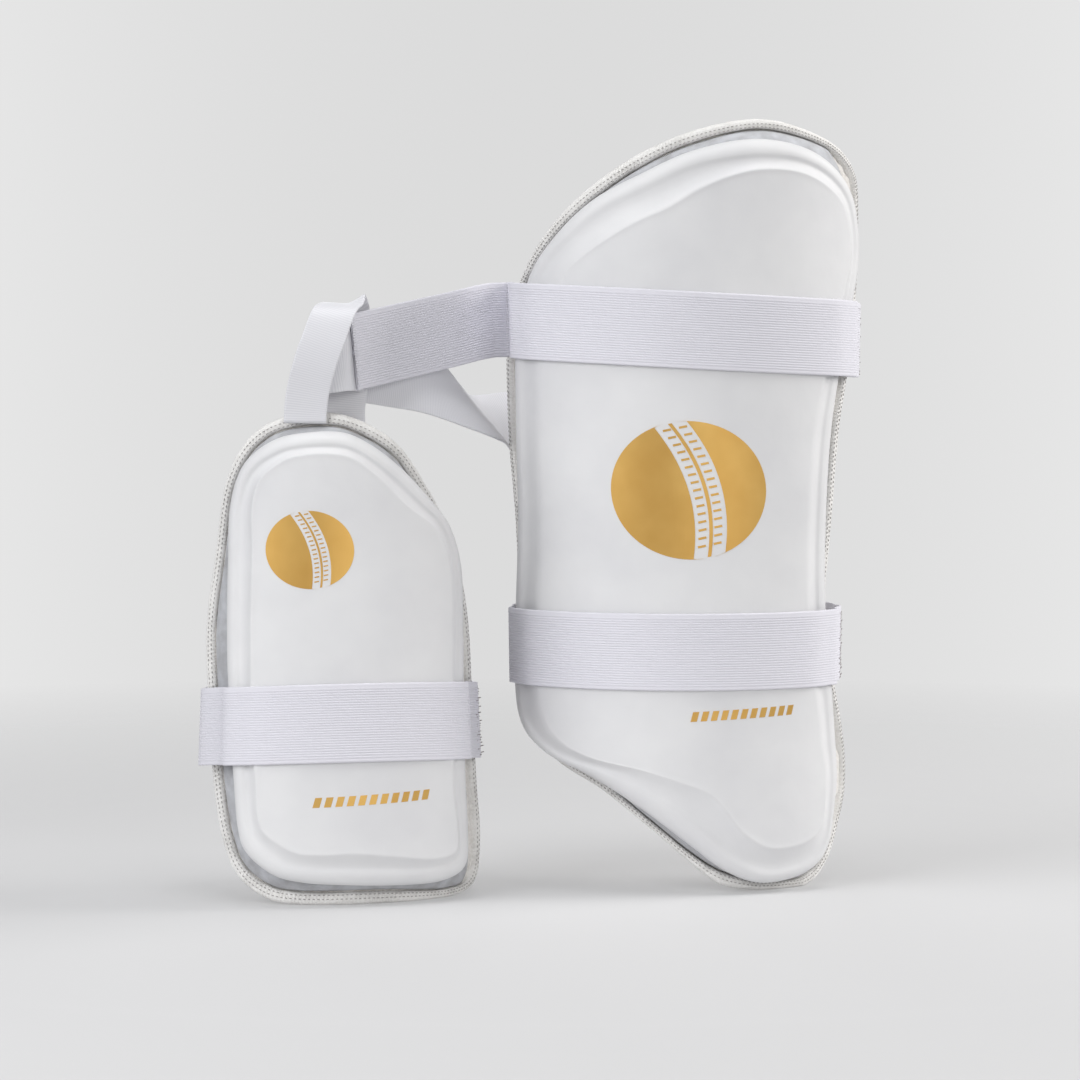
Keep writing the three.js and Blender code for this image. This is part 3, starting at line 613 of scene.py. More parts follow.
def make_needle_rows(guard, sizes, material):
    """Rows of short sunk stitches along the hem's front and back."""
    pitch, length, radius = 2.4, 1.1, 0.24
    spokes = Spokes(guard, sizes, 24)
    bodies = []
    for inset, out in ((5.4, hem_front(sizes) - 0.1), (3.3, hem_front(sizes) + 0.02),
                       (4.4, -sizes.hem_lip)):
        ring = spokes.ring(inset, out)
        centre = spokes.ring(inset, sizes.pad / 2)
        along = lengths_along(np.vstack([ring, ring[:1]]))
        count = int(along[-1] / pitch)
        wraps = np.vstack([ring, ring[:1]])
        middles = np.vstack([centre, centre[:1]])
        reach = np.array([0, 0.5, 1])[None] * length + (np.arange(count) * along[-1] / count)[:, None]
        reach = np.minimum(reach, along[-1])
        path = np.stack([np.interp(reach, along, column) for column in wraps.T], -1)
        base = np.stack([np.interp(reach, along, column) for column in middles.T], -1)
        bodies.append(threads(path, unit(path - base), radius, sides=5))
    points, faces = joined(bodies)
    return new_piece(f"{guard.name}_needle_rows", points, faces, sizes, material)


# Back pads

def make_back_pad(guard, sizes, material):
    """Towelling pad on the leg side, puffed between its hem and the shell by cloth pressure."""
    spokes = Spokes(guard, sizes, 4)
    edge = sizes.hem_width - 3
    insets = [np.full(len(spokes), edge), np.full(len(spokes), edge + 3)]
    start = np.full(len(spokes), edge + 7)
    far = spokes.rim + 0.97 * spokes.reach
    insets += [start + (far - start) * share for share in np.linspace(0, 1, 14)]
    front = [spokes.ring(inset, sizes.pad) for inset in insets]
    back = [spokes.ring(inset, 0.4 if k else 1.5) for k, inset in enumerate(insets)]
    rings = back[::-1] + front
    count = len(spokes)
    triangles = middle_faces(spokes.walk(far))
    faces = ring_faces(len(rings), count, False)
    last = (len(rings) - 1) * count
    faces += [tuple(last + i for i in face) for face in triangles]
    faces += [tuple(face[::-1]) for face in triangles]
    piece = new_piece(f"{guard.name}_towelling_pad", np.vstack(rings), faces, sizes, material,
                      [f"{guard.name}_back_pad"])
    puff(piece, guard, sizes)
    return piece


def puff(piece, guard, sizes):
    """Cloth simulation of the pad's cover, held close to its shape toward its neighbours."""
    voxel = piece.modifiers.new("even mesh", "REMESH")
    voxel.mode = "VOXEL"
    voxel.voxel_size = 4.5 * MM
    apply_modifiers(piece)
    still = np.array([v.co[:] for v in piece.data.vertices])
    cloth = piece.modifiers.new("cover", "CLOTH")
    cloth.settings.use_pressure = True
    cloth.settings.uniform_pressure_force = 4
    cloth.settings.effector_weights.gravity = 0
    cloth.settings.quality = 4
    scene = bpy.context.scene
    for number in range(1, 21):
        scene.frame_set(number)
    apply_modifiers(piece)
    moved = np.array([v.co[:] for v in piece.data.vertices])
    scene.frame_set(1)
    axis = (np.array([*guard.axis, 0]) + set_shift(sizes)) * MM
    straight = still - np.outer(lean_at(still[:, 2]), (0, 1, 0))
    outward = straight - axis
    outward[:, 2] = 0
    outward = unit(outward)
    move = moved - still
    away = (move * outward).sum(1)
    capped = np.clip(away, -3.0 * MM, 0.1 * MM)
    towels = soft_noise(still / MM, 26, 4.4) * 0.9 + soft_noise(still / MM, 9, 2.2) * 0.35
    rise = still[:, None] * 0
    inner_side = smooth_step(0, 2 * MM, leg_side_depth(straight, guard, sizes, axis))
    final = still + outward * (np.where(capped < 0, capped, capped)
                               - towels * 0.6 * MM * inner_side)[:, None]
    final[:, 2] = np.maximum(final[:, 2], 0)
    piece.data.vertices.foreach_set("co", final.ravel())
    smooth = piece.modifiers.new("finer mesh", "SUBSURF")
    smooth.levels = 1
    apply_modifiers(piece)
    piece.data.polygons.foreach_set("use_smooth", [True] * len(piece.data.polygons))


def leg_side_depth(points, guard, sizes, axis):
    """How far each point lies toward the leg from the middle of the pad's thickness, in m."""
    height = points[:, 2] / MM
    skin = guard.skin_foot + (guard.skin_top - guard.skin_foot) * height / guard.height
    radius = np.hypot(points[:, 0] - axis[0], points[:, 1] - axis[1])
    return (skin + sizes.pad / 2) * MM - radius


def apply_modifiers(piece):
    """Puts the modifiers' result into the piece's own mesh."""
    graph = bpy.context.evaluated_depsgraph_get()
    mesh = bpy.data.meshes.new_from_object(piece.evaluated_get(graph))
    old = piece.data
    piece.modifiers.clear()
    piece.data = mesh
    mesh.name = old.name
    bpy.data.meshes.remove(old)


# Straps
# A strap is a list of sections, each the low and high corner of its leg-side face side by side.

LegStrap = namedtuple("LegStrap", "height drop tilt back_depth")
OUTER_STRAP = LegStrap(128, 0, 0, 70)
INNER_STRAP = LegStrap(95, 12, 0, 62)
BELT = LegStrap(295, 0, 6, 0)
STRAP_LIFT = 0.6
BEVEL_END = 20
ROLL_WIDTH = 9
LAP = 0.4


def edge_arc(spokes, line, height, side):
    """Widest arc of the hem's or shell's edge inside a strap's band, on one side."""
    widest = 0.0
    following = np.roll(line, -1, axis=0)
    for share in (-0.5, -0.25, 0, 0.25, 0.5):
        level = height + share * spokes.sizes.strap_width
        crosses = ((line[:, 1] - level) * (following[:, 1] - level) <= 0) & (line[:, 1] != following[:, 1])
        a, b = line[crosses], following[crosses]
        arcs = a[:, 0] + (b[:, 0] - a[:, 0]) * (level - a[:, 1]) / (b[:, 1] - a[:, 1])
        widest = max(widest, (arcs * side).max(initial=0))
    return widest


def strap_height(guard, sizes, strap, arc):
    turn = np.clip(arc / guard.pattern_radius(sizes), -math.pi / 2, math.pi / 2)
    return strap.height - strap.tilt * math.sin(turn) - strap.drop * (1 - math.cos(turn))


def strap_section(guard, sizes, strap, arc, out):
    height = strap_height(guard, sizes, strap, arc)
    half = sizes.strap_width / 2
    flat = np.array([[arc, height - half], [arc, height + half]])
    return guard.place(sizes, flat, out).ravel()


def edge_keys(guard, spokes, strap, side):
    """Arc and out of the strap over one edge, from the raised middle to just past the hem."""
    sizes = spokes.sizes
    height = strap_height(guard, sizes, strap, side * guard.pattern_radius(sizes))
    shell = edge_arc(spokes, spokes.shell, height, side)
    hem = edge_arc(spokes, spokes.hem, height, side)
    top, front = rim_out(sizes), hem_front(sizes)
    keys = [
        (shell - BEVEL_END, top + sizes.plateau + STRAP_LIFT),
        (shell - ROLL_WIDTH, top + 2 * STRAP_LIFT),
        (shell - ROLL_WIDTH / 4, top - STRAP_LIFT / 2),
        (shell + 2.2, top - sizes.shell_wall / 2 - 1),
        (hem + STRAP_LIFT, front + STRAP_LIFT),
        (hem + 3 * STRAP_LIFT, front - 2),
    ]
    return [(arc * side, out) for arc, out in keys]


def over_face(guard, sizes, strap, left_keys, right_keys):
    """Sections of a strap over the guard's face, from its left keys to its right keys."""
    start, end = left_keys[0][0], right_keys[0][0]
    face_steps = 12
    middle = [(start + (end - start) * i / face_steps, left_keys[0][1]) for i in range(1, face_steps)]
    sections = []
    for arc, out in [*left_keys[::-1], *middle, *right_keys]:
        flat = np.array([arc, strap_height(guard, sizes, strap, arc)])
        sections.append(strap_section(guard, sizes, strap, arc, out + dents(guard, sizes, flat)))
    return np.array(sections)


def behind_leg(sections, depth, start, end, steps):
    """The hidden way round behind the leg: half an ellipse from one fold to the other."""
    left, right = sections[0], sections[-1]
    middle, half = (right + left) / 2, (right - left) / 2
    back = np.array([0, depth, 0, 0, depth, 0])
    angles = np.linspace(start, end, steps)[:, None]
    return middle + half * np.cos(angles) + back * np.sin(angles)


def ribbon(rows, width, centre_steps):
    """Sections of a free ribbon along rows of a place and the way its width lies there."""
    route = through([row[0] for row in rows], centre_steps)
    across = through([row[1] for row in rows], centre_steps, centripetal=False)
    heading = unit(np.gradient(route, axis=0))
    across = unit(across - heading * (across * heading).sum(-1, keepdims=True))
    return np.hstack([route - across * width / 2, route + across * width / 2])


def band_mesh(sections, along, thickness, side, closed, ribs=0, selvedge=2.0, relief=0.34):
    """Points, faces and cloth places of a flat band along sections, ribbed on both faces."""
    low, high = sections[:, :3], sections[:, 3:]
    middle = (low + high) / 2
    if closed:
        heading = unit(np.roll(middle, -1, axis=0) - np.roll(middle, 1, axis=0))
    else:
        heading = unit(np.gradient(middle, axis=0))
    wide = unit(high - low)
    out = unit(np.cross(wide, heading)) * side
    width = np.linalg.norm(high - low, axis=1).mean()
    if ribs:
        pitch = (width - 2 * selvedge) / ribs
        shape = [0.04, 0.22, 0.5, 0.78]
        places = [selvedge + pitch * (rib + share) for rib in range(ribs) for share in shape]
        height = [[0.1, 0.8, 1.0, 0.8][k % 4] for k in range(len(places))]
        across = np.array([0.25, 0.9, 1.6, *places, width - 1.6, width - 0.9, width - 0.25])
        height = np.array([0.35, 0.75, 0.5, *height, 0.5, 0.75, 0.35])
    else:
        across = np.array([0.12, 0.5, *np.linspace(1.4, width - 1.4, 13), width - 0.5, width - 0.12])
        height = np.array([0.3, 0.9, *([1.0] * 13), 0.9, 0.3])
        relief = 0.25
    share = across / width
    upper = thickness - relief * (1 - height)
    lower = relief * (1 - height)
    shares = np.concatenate([[0], share, [1], share[::-1]])
    lifts = np.concatenate([[thickness / 2], upper, [thickness / 2], lower[::-1]])
    grid = (low[:, None] + (high - low)[:, None] * shares[None, :, None]
            + out[:, None] * lifts[None, :, None])
    around = len(shares)
    cloth = np.stack(np.broadcast_arrays(along[:, None], (shares * width - selvedge)[None]), -1)
    if closed:
        faces = ring_faces(len(grid), around, True)
        return grid.reshape(-1, 3), faces, cloth.reshape(-1, 2)
    points, faces = capped_rings(list(grid), grid[0].mean(0), grid[-1].mean(0))
    ends = np.array([[along[0], width / 2], [along[-1], width / 2]])
    return points, faces, np.vstack([cloth.reshape(-1, 2), ends])


def elastic_ribs(sizes):
    """Ribs across the elastic: one for each 1.25 mm between its selvedges."""
    return int((sizes.strap_width - 4) / 1.25)


def make_leg_strap(guard, sizes, strap, node, finishes):
    spokes = Spokes(guard, sizes, 2)
    face = over_face(guard, sizes, strap, edge_keys(guard, spokes, strap, -1),
                     edge_keys(guard, spokes, strap, 1))
    step = math.pi / 18
    behind = behind_leg(face, strap.back_depth, step, math.pi - step, 17)
    loop = np.vstack([face, behind])
    sections, along = evenly(through(loop, 8, closed=True), 3.6, closed=True)
    points, faces, cloth = band_mesh(sections, along, sizes.elastic, -1, True, elastic_ribs(sizes))
    piece = new_piece(f"{guard.name}_leg_elastic", points, faces, sizes, finishes["elastic"],
                      [node], cloth)
    fold_stitches(f"{guard.name}_strap_stitches", face, sizes, finishes["stitch"], 5)
    tab = tab_sections(face, sizes, strap)
    sections, along = evenly(through(tab, 8), 2.0)
    points, faces, cloth = band_mesh(sections, along, sizes.tape, -1, False)
    patch = new_piece(f"{guard.name}_hook_patch", points, faces, sizes, finishes["hook"],
                      [f"{guard.name}_tab"], cloth)
    return face


def fold_stitches(name, face, sizes, material, seed):
    """Short brown stitches that hold a strap where it turns back over the right hem. Their dark colour is
    partly painted shade between the elastic's ribs at the fold.
    """
    rng = np.random.default_rng(seed)
    pitch, radius = 1.5, 0.27
    count = int((sizes.strap_width - 3) / pitch)
    up = (1.5 + pitch * np.arange(count)) / sizes.strap_width + rng.normal(0, 0.006, count)
    start = rng.uniform(0.6, 0.85, count)
    end = start + rng.uniform(0.18, 0.36, count)
    before, after = face[-3], face[-2]
    heading = unit((after - before)[:3])
    wide = unit(before[3:] - before[:3])
    out = np.cross(heading, wide)

    def on_strap(share, height):
        section = before + (after - before) * share[:, None]
        place = section[:, :3] + (section[:, 3:] - section[:, :3]) * height[:, None]
        return place + out * (sizes.elastic + 0.3)

    path = np.stack([on_strap(start, up), on_strap((start + end) / 2, up + 0.006),
                     on_strap(end, up + 0.012)], 1)
    points, faces = threads(path, np.broadcast_to(out, path.shape), radius)
    return new_piece(name, points, faces, sizes, material)


def tab_sections(face, sizes, strap):
    """Hook patch on the strap, just behind its right fold."""
    length, start, narrower = 34, 0.1, 0.04
    sections = behind_leg(face, strap.back_depth, start, start + length / strap.back_depth, 7)
    low, high = sections[:, :3], sections[:, 3:]
    heading = unit(np.gradient((low + high) / 2, axis=0))
    out = unit(np.cross(unit(high - low), heading)) * -1 * (sizes.elastic + LAP)
    shrink = (high - low) * narrower
    return np.hstack([low + shrink + out, high - shrink + out])


# Waist belt

UP = np.array([0.0, 0.0, 1.0])


def leaning(degrees, toward_x, toward_y):
    side = unit([toward_x, toward_y, 0])
    return UP * math.cos(math.radians(degrees)) + side * math.sin(math.radians(degrees))


def belt_places(sizes):
    """The places that the belt's parts share: its folds, its seam and the hanging loop's seat."""
    spokes = Spokes(OUTER, sizes, 2)
    left = edge_keys(OUTER, spokes, BELT, -1)[:4]
    tuck_back, tuck_out = 12, hem_front(sizes) + 2.5
    left.append((left[3][0] - tuck_back, tuck_out))
    face = over_face(OUTER, sizes, BELT, left, edge_keys(OUTER, spokes, BELT, 1))
    seat = INNER.place(sizes, INNER.flat_point(sizes, -0.03, 1), 0)
    left_fold = (face[0, :3] + face[0, 3:]) / 2
    right_fold = (face[-1, :3] + face[-1, 3:]) / 2
    seam = seat + (3.7, -4.8, 31.5)
    mouth = left_fold + (-12, 7, -0.5)
    return face, seat, left_fold, right_fold, seam, mouth


def make_belt_elastic(sizes, material):
    face, _, left_fold, right_fold, seam, mouth = belt_places(sizes)
    link = [(seam, UP), (seam + (mouth - seam) * 0.33, UP), (seam + (mouth - seam) * 0.67, UP),
            (mouth, UP), (left_fold + (-4.6, 9.5, -0.3), UP), (left_fold + (-2.2, 10.5, -0.2), UP),
            (left_fold + (-1.2, 7, 0), UP)]
    end = [(right_fold + (0.4, 8, 0), UP), (right_fold + (-3, 15, 0), UP),
           (right_fold + (-12, 19.5, 0), UP), (right_fold + (-26, 20, 0), UP),
           (right_fold + (-40, 20, 0), UP)]
    width = sizes.strap_width
    keys = np.vstack([ribbon(link, width, 3), face, ribbon(end, width, 2)])
    sections, along = evenly(through(keys, 6), 3.4)
    points, faces, cloth = band_mesh(sections, along, sizes.elastic, -1, False, elastic_ribs(sizes))
    piece = new_piece("belt_ribbed_elastic", points, faces, sizes, material,
                      ["belt_elastic"], cloth)
    return piece


def make_belt_tape(sizes, material):
    _, seat, left_fold, right_fold, seam, mouth = belt_places(sizes)
    lap = LAP + sizes.tape
    heading = unit((mouth - seam) * (1, 1, 0))
    behind = np.array([-heading[1], heading[0], 0]) * lap

    def on_the_way(share, y, z):
        return seat + (left_fold - seat) * share + (0, y, z)

    def behind_outer(x, y, z):
        height = z * OUTER.height
        axis = np.array([*OUTER.axis, 0])
        return axis + (x * OUTER.skin_top, y * OUTER.skin_top + lean_at(height), height)

    rows = [
        (seam + heading * 9 + behind, UP), (seam + behind, UP), (seam - heading * 6 + behind, UP),
        (seat + (-7.3, -9, 30.5), leaning(9, 1, 0)), (seat + (-12.8, -6.5, 29.5), leaning(18, 1, 0)),
        (seat + (-15.6, -0.4, 29), leaning(24, 1, 0)), (seat + (-12.3, 6.4, 28), leaning(20, 1, 0)),
        (seat + (-5.5, 9.8, 27), leaning(9, 1, 0)),
        (on_the_way(0.055, 11.5, 23), UP), (on_the_way(0.25, 8.5, 10.7), UP),
        (on_the_way(0.435, 9.4, -2.3), leaning(12, -1, 1)),
        (on_the_way(0.645, 17.6, -23.6), leaning(32, -1, 1)),
        (on_the_way(0.806, 30.2, -41.5), leaning(42, -2, 1)),
        (on_the_way(0.885, 42.3, -50.6), leaning(40, -2, 1)),
        (behind_outer(-0.95, 0.08, 0.607), leaning(38, -1, 2)),
        (behind_outer(-0.67, 0.15, 0.617), leaning(34, 0, 1)),
        (behind_outer(-0.22, 0.16, 0.642), leaning(20, 0, 1)),
        (behind_outer(0.24, 0.1, 0.679), leaning(6, 0, 1)),
        (right_fold + (-44, 20 - lap, 0), UP), (right_fold + (-30, 20 - lap, 0), UP),
        (right_fold + (-18, 20 - lap, 0), UP),
    ]
    sections, along = evenly(ribbon(rows, sizes.strap_width, 10), 3.0)
    points, faces, cloth = band_mesh(sections, along, sizes.tape, 1, False)
    piece = new_piece("belt_woven_tape", points, faces, sizes, material,
                      ["belt_tape"], cloth)
    return piece


def make_hanging_loop(sizes, material):
    _, seat, *_ = belt_places(sizes)
    sideways, pad_way, belt_way = (1, 0, 0), (0.974, 0.225, 0), (0.8, 0.6, 0)
    rows = [
        (seat + (-20.4, -13.1, -5), sideways), (seat + (-20.2, -13.3, 1), sideways),
        (seat + (-18.7, -14.7, 12), sideways),
        (seat + (-15, -16.8, 26), sideways), (seat + (-10, -16.5, 40), sideways),
        (seat + (-6, -13.5, 50.5), sideways), (seat + (-2.5, -7, 55), sideways),
        (seat + (1, 0.5, 55), belt_way), (seat + (3.5, 6, 49.5), belt_way),
        (seat + (2.5, 6.4, 34), belt_way), (seat + (0.5, 5.2, 16), pad_way),
        (seat + (-0.9, 4.3, 3), pad_way), (seat + (-0.9, 4.1, -7), pad_way),
        (seat + (-0.5, 2.2, -19), pad_way), (seat + (-0.5, 1.9, -26), pad_way),
    ]
    sections, along = evenly(ribbon(rows, sizes.loop_width, 12), 1.8)
    points, faces, cloth = band_mesh(sections, along, sizes.tape, 1, False)
    piece = new_piece("hanging_ribbon_loop", points, faces, sizes, material,
                      ["hanging_loop"], cloth)
    return piece


# Foil prints

def foil_patch(guard, sizes, centre, tilt, strips, spacing=2.2):
    """Thin closed foil shapes on the shell's face. Each strip lists rows of left, right and up."""
    lift, film = 0.06, 0.12
    turn = math.radians(tilt)
    bodies = []
    for strip in strips:
        strip = np.asarray(strip, float)
        widest = (strip[:, 1] - strip[:, 0]).max()
        columns = max(int(widest / spacing), 1) + 1
        share = np.linspace(0, 1, columns)[None]
        x = strip[:, :1] + (strip[:, 1:2] - strip[:, :1]) * share
        y = np.broadcast_to(strip[:, 2:3], x.shape)
        flat = np.stack([centre[0] + x * math.cos(turn) - y * math.sin(turn),
                         centre[1] + x * math.sin(turn) + y * math.cos(turn)], -1)
        face_out = rim_out(sizes) + sizes.plateau + dents(guard, sizes, flat)
        lower = guard.place(sizes, flat, face_out - lift)
        upper = guard.place(sizes, flat, face_out + film)
        rows, across = x.shape
        edge = ([(0, c) for c in range(across)] + [(r, across - 1) for r in range(1, rows)]
                + [(rows - 1, c) for c in range(across - 2, -1, -1)]
                + [(r, 0) for r in range(rows - 2, 0, -1)])
        index = np.arange(rows * across).reshape(rows, across)
        size = rows * across
        faces = []
        for r in range(rows - 1):
            for c in range(across - 1):
                quad = (index[r, c], index[r, c + 1], index[r + 1, c + 1], index[r + 1, c])
                faces.append(quad)
                faces.append(tuple(size + i for i in quad[::-1]))
        for k, here in enumerate(edge):
            a, b = index[here], index[edge[(k + 1) % len(edge)]]
            faces.append((b, a, a + size, b + size))
        bodies.append((np.vstack([upper.reshape(-1, 3), lower.reshape(-1, 3)]), faces))
    return joined(bodies)


def ball_strips(width, height):
    """A plain cricket ball: two caps either side of a stitched seam that bows across it."""
    levels = np.sin(np.linspace(-math.pi / 2, math.pi / 2, 41)) * height / 2
    edge = np.sqrt(np.maximum(1 - (2 * levels / height) ** 2, 0)) * width / 2
    bow = 0.10 * width * (1 - (2 * levels / height) ** 2)
    gap = 0.105 * width
    strips = []
    left = np.stack([-edge, np.maximum(bow - gap, -edge), levels], -1)
    right = np.stack([np.minimum(bow + gap, edge), edge, levels], -1)
    strips += [left[1:-1], right[1:-1]]
    core = np.stack([bow - 0.012 * width, bow + 0.012 * width, levels], -1)
    strips.append(core[2:-2])
    dash, slope = 0.052 * width, 0.02 * width
    for up in np.arange(-0.43, 0.44, 0.0575) * height:
        middle = 0.10 * width * (1 - (2 * up / height) ** 2)
        for side in (-1, 1):
            near = middle + side * 0.026 * width
            far = near + side * dash
            low, high = sorted((near, far))
            rise = np.array([up - 0.008 * height, up + 0.008 * height]) + slope
            strips.append([(low, high, rise[0]), (low, high, rise[1])])
    return strips


def bar_strips(length, height, count, slant):
    """A plain row of slanting bars."""
    pitch = length / count
    strips = []
    for k in range(count):
        left = -length / 2 + pitch * k
        strips.append([(left, left + 0.62 * pitch, -height / 2),
                       (left + slant, left + slant + 0.62 * pitch, height / 2)])
    return strips


def make_foil(guard, sizes, prints, material):
    bodies = []
    for degrees, height, tilt, strips in prints:
        centre = (math.radians(degrees) * guard.pattern_radius(sizes), height)
        bodies.append(foil_patch(guard, sizes, centre, tilt, strips))
    points, faces = joined(bodies)
    piece = new_piece(f"{guard.name}_foil_print", points, faces, sizes, material)
    piece.data.set_sharp_from_angle(angle=math.radians(50))
    return piece


# Materials

def linear(hex_colour):
    """Linear red, green, blue and alpha of an sRGB hex colour."""
    values = [int(hex_colour[i:i + 2], 16) / 255 for i in (1, 3, 5)]
    return tuple(v / 12.92 if v <= 0.04045 else ((v + 0.055) / 1.055) ** 2.4 for v in values) + (1.0,)


def add_node(tree, kind, values=None, **settings):
    """Adds a node with its settings and fills its inputs with values or other nodes' sockets."""
    node = tree.nodes.new(kind)
    for name, value in settings.items():
        setattr(node, name, value)
    for key, value in (values or {}).items():
        if isinstance(value, bpy.types.NodeSocket):
            tree.links.new(value, node.inputs[key])
        else:
            node.inputs[key].default_value = value
    return node


def new_material(name):
    """An empty material with its node tree, its output and the object's own coordinates."""
    material = bpy.data.materials.new(name)
    material.use_nodes = True
    tree = material.node_tree
    tree.nodes.clear()
    output = add_node(tree, "ShaderNodeOutputMaterial")
    places = add_node(tree, "ShaderNodeTexCoord")
    return material, tree, output, places


def blend_colours(tree, factor, first, second):
    """Socket of a colour that goes from the first to the second with a factor."""
    mixer = add_node(tree, "ShaderNodeMix", {0: factor, 6: first, 7: second}, data_type="RGBA")
    return mixer.outputs[2]


def polyurethane_skin(colours):
    """Moulded foam under a sprayed white polyurethane skin: satin, faintly smudged, fine grain."""
    material, tree, output, places = new_material("polyurethane_skin")
    at = places.outputs["Object"]
    smudges = add_node(tree, "ShaderNodeTexNoise", {"Vector": at, "Scale": 1 / 0.055, "Detail": 3.0,
                                                    "Roughness": 0.55})
    spread = add_node(tree, "ShaderNodeMapRange", {0: smudges.outputs[0], 1: 0.35, 2: 0.7})
    colour = blend_colours(tree, spread.outputs[0], tuple(colours.foam), tuple(colours.foam_smudge))
    rough = add_node(tree, "ShaderNodeMapRange", {0: smudges.outputs[0], 1: 0.3, 2: 0.7, 3: 0.50,
                                                  4: 0.60})
    grain = add_node(tree, "ShaderNodeTexNoise", {"Vector": at, "Scale": 1 / 0.0011, "Detail": 2.0})
    waves = add_node(tree, "ShaderNodeTexNoise", {"Vector": at, "Scale": 1 / 0.012, "Detail": 2.0})
    low = add_node(tree, "ShaderNodeBump", {"Height": waves.outputs[0], "Strength": 0.25,
                                            "Distance": 0.0009})
    fine = add_node(tree, "ShaderNodeBump", {"Height": grain.outputs[0], "Strength": 0.12,
                                             "Distance": 0.00012, "Normal": low.outputs[0]})
    skin = add_node(tree, "ShaderNodeBsdfPrincipled", {
        "Base Color": colour, "Roughness": rough.outputs[0], "IOR": 1.49,
        "Normal": fine.outputs[0]})
    tree.links.new(skin.outputs[0], output.inputs[0])
    return material


def knitted_lining(colours):
    """Warp-knitted polyester lining: matt grey, a fine net of loops that softens its creases."""
    material, tree, output, places = new_material("knitted_lining")
    at = places.outputs["Object"]
    tone = add_node(tree, "ShaderNodeTexNoise", {"Vector": at, "Scale": 1 / 0.009, "Detail": 4.0})
    spread = add_node(tree, "ShaderNodeMapRange", {0: tone.outputs[0], 1: 0.3, 2: 0.7})
    colour = blend_colours(tree, spread.outputs[0], tuple(colours.lining), tuple(colours.lining_fold))
    loops = add_node(tree, "ShaderNodeTexVoronoi", {"Vector": at, "Scale": 1 / 0.0009})
    bump = add_node(tree, "ShaderNodeBump", {"Height": loops.outputs[0], "Strength": 0.35,
                                             "Distance": 0.0003})
    cloth = add_node(tree, "ShaderNodeBsdfPrincipled", {
        "Base Color": colour, "Roughness": 0.85, "IOR": 1.5, "Sheen Weight": 0.2,
        "Sheen Roughness": 0.5, "Normal": bump.outputs[0]})
    tree.links.new(cloth.outputs[0], output.inputs[0])
    return material


def cotton_towelling(colours):
    """Looped cotton towelling: deep matt pile in small tufts that shade one another, with that shade
    painted in: the ground between the tufts is painted darker.
    """
    material, tree, output, places = new_material("cotton_towelling")
    at = places.outputs["Object"]
    tufts = add_node(tree, "ShaderNodeTexVoronoi", {"Vector": at, "Scale": 1 / 0.0017,
                                                    "Randomness": 0.8}, feature="SMOOTH_F1")
    fuzz = add_node(tree, "ShaderNodeTexNoise", {"Vector": at, "Scale": 1 / 0.0008, "Detail": 3.0})
    height = add_node(tree, "ShaderNodeMath", {0: fuzz.outputs[0], 1: tufts.outputs[0]},
                      operation="SUBTRACT")
    # painted shade: the colour darkens from each tuft's middle toward the low ground between the tufts
    spread = add_node(tree, "ShaderNodeMapRange", {0: tufts.outputs[0], 1: 0.25, 2: 0.75})
    colour = blend_colours(tree, spread.outputs[0], tuple(colours.towelling), tuple(colours.towelling_deep))
    bump = add_node(tree, "ShaderNodeBump", {"Height": height.outputs[0], "Strength": 0.7,
                                             "Distance": 0.0009})
    cloth = add_node(tree, "ShaderNodeBsdfPrincipled", {
        "Base Color": colour, "Roughness": 0.95, "IOR": 1.5, "Sheen Weight": 0.35,
        "Sheen Roughness": 0.6, "Normal": bump.outputs[0]})
    tree.links.new(cloth.outputs[0], output.inputs[0])
    return material


def overlock_thread(colours):
    """Bulked polyester overlock thread: soft, matt and slightly fluffy."""
    material, tree, output, places = new_material("overlock_thread")
    at = places.outputs["Object"]
    fluff = add_node(tree, "ShaderNodeTexNoise", {"Vector": at, "Scale": 1 / 0.0011, "Detail": 4.0,
                                                  "Roughness": 0.7})
    spread = add_node(tree, "ShaderNodeMapRange", {0: fluff.outputs[0], 1: 0.35, 2: 0.65})
    colour = blend_colours(tree, spread.outputs[0], tuple(colours.thread_shade), tuple(colours.thread))
    bump = add_node(tree, "ShaderNodeBump", {"Height": fluff.outputs[0], "Strength": 0.5,
                                             "Distance": 0.0005})
    thread = add_node(tree, "ShaderNodeBsdfPrincipled", {
        "Base Color": colour, "Roughness": 0.9, "IOR": 1.5, "Sheen Weight": 0.25,
        "Sheen Roughness": 0.5, "Normal": bump.outputs[0]})
    tree.links.new(thread.outputs[0], output.inputs[0])
    return material


def needle_thread(colours):
    """Tight polyester needle thread, painted grey for the shade of its sunk stitches, so that its row reads
    as grey dashes.
    """
    material, tree, output, _ = new_material("needle_thread")
    thread = add_node(tree, "ShaderNodeBsdfPrincipled", {
        "Base Color": tuple(colours.needle), "Roughness": 0.8, "IOR": 1.5})
    tree.links.new(thread.outputs[0], output.inputs[0])
    return material


def bar_tack_thread(colours):
    """Bonded nylon thread of the tacks at the straps' folds: grey-brown, a little shiny. Its dark colour is
    partly the brown specks at the folds and partly painted shade between the elastic's ribs there.
    """
    material, tree, output, _ = new_material("bar_tack_thread")
    thread = add_node(tree, "ShaderNodeBsdfPrincipled", {
        "Base Color": tuple(colours.tack), "Roughness": 0.6, "IOR": 1.53})
    tree.links.new(thread.outputs[0], output.inputs[0])
    return material


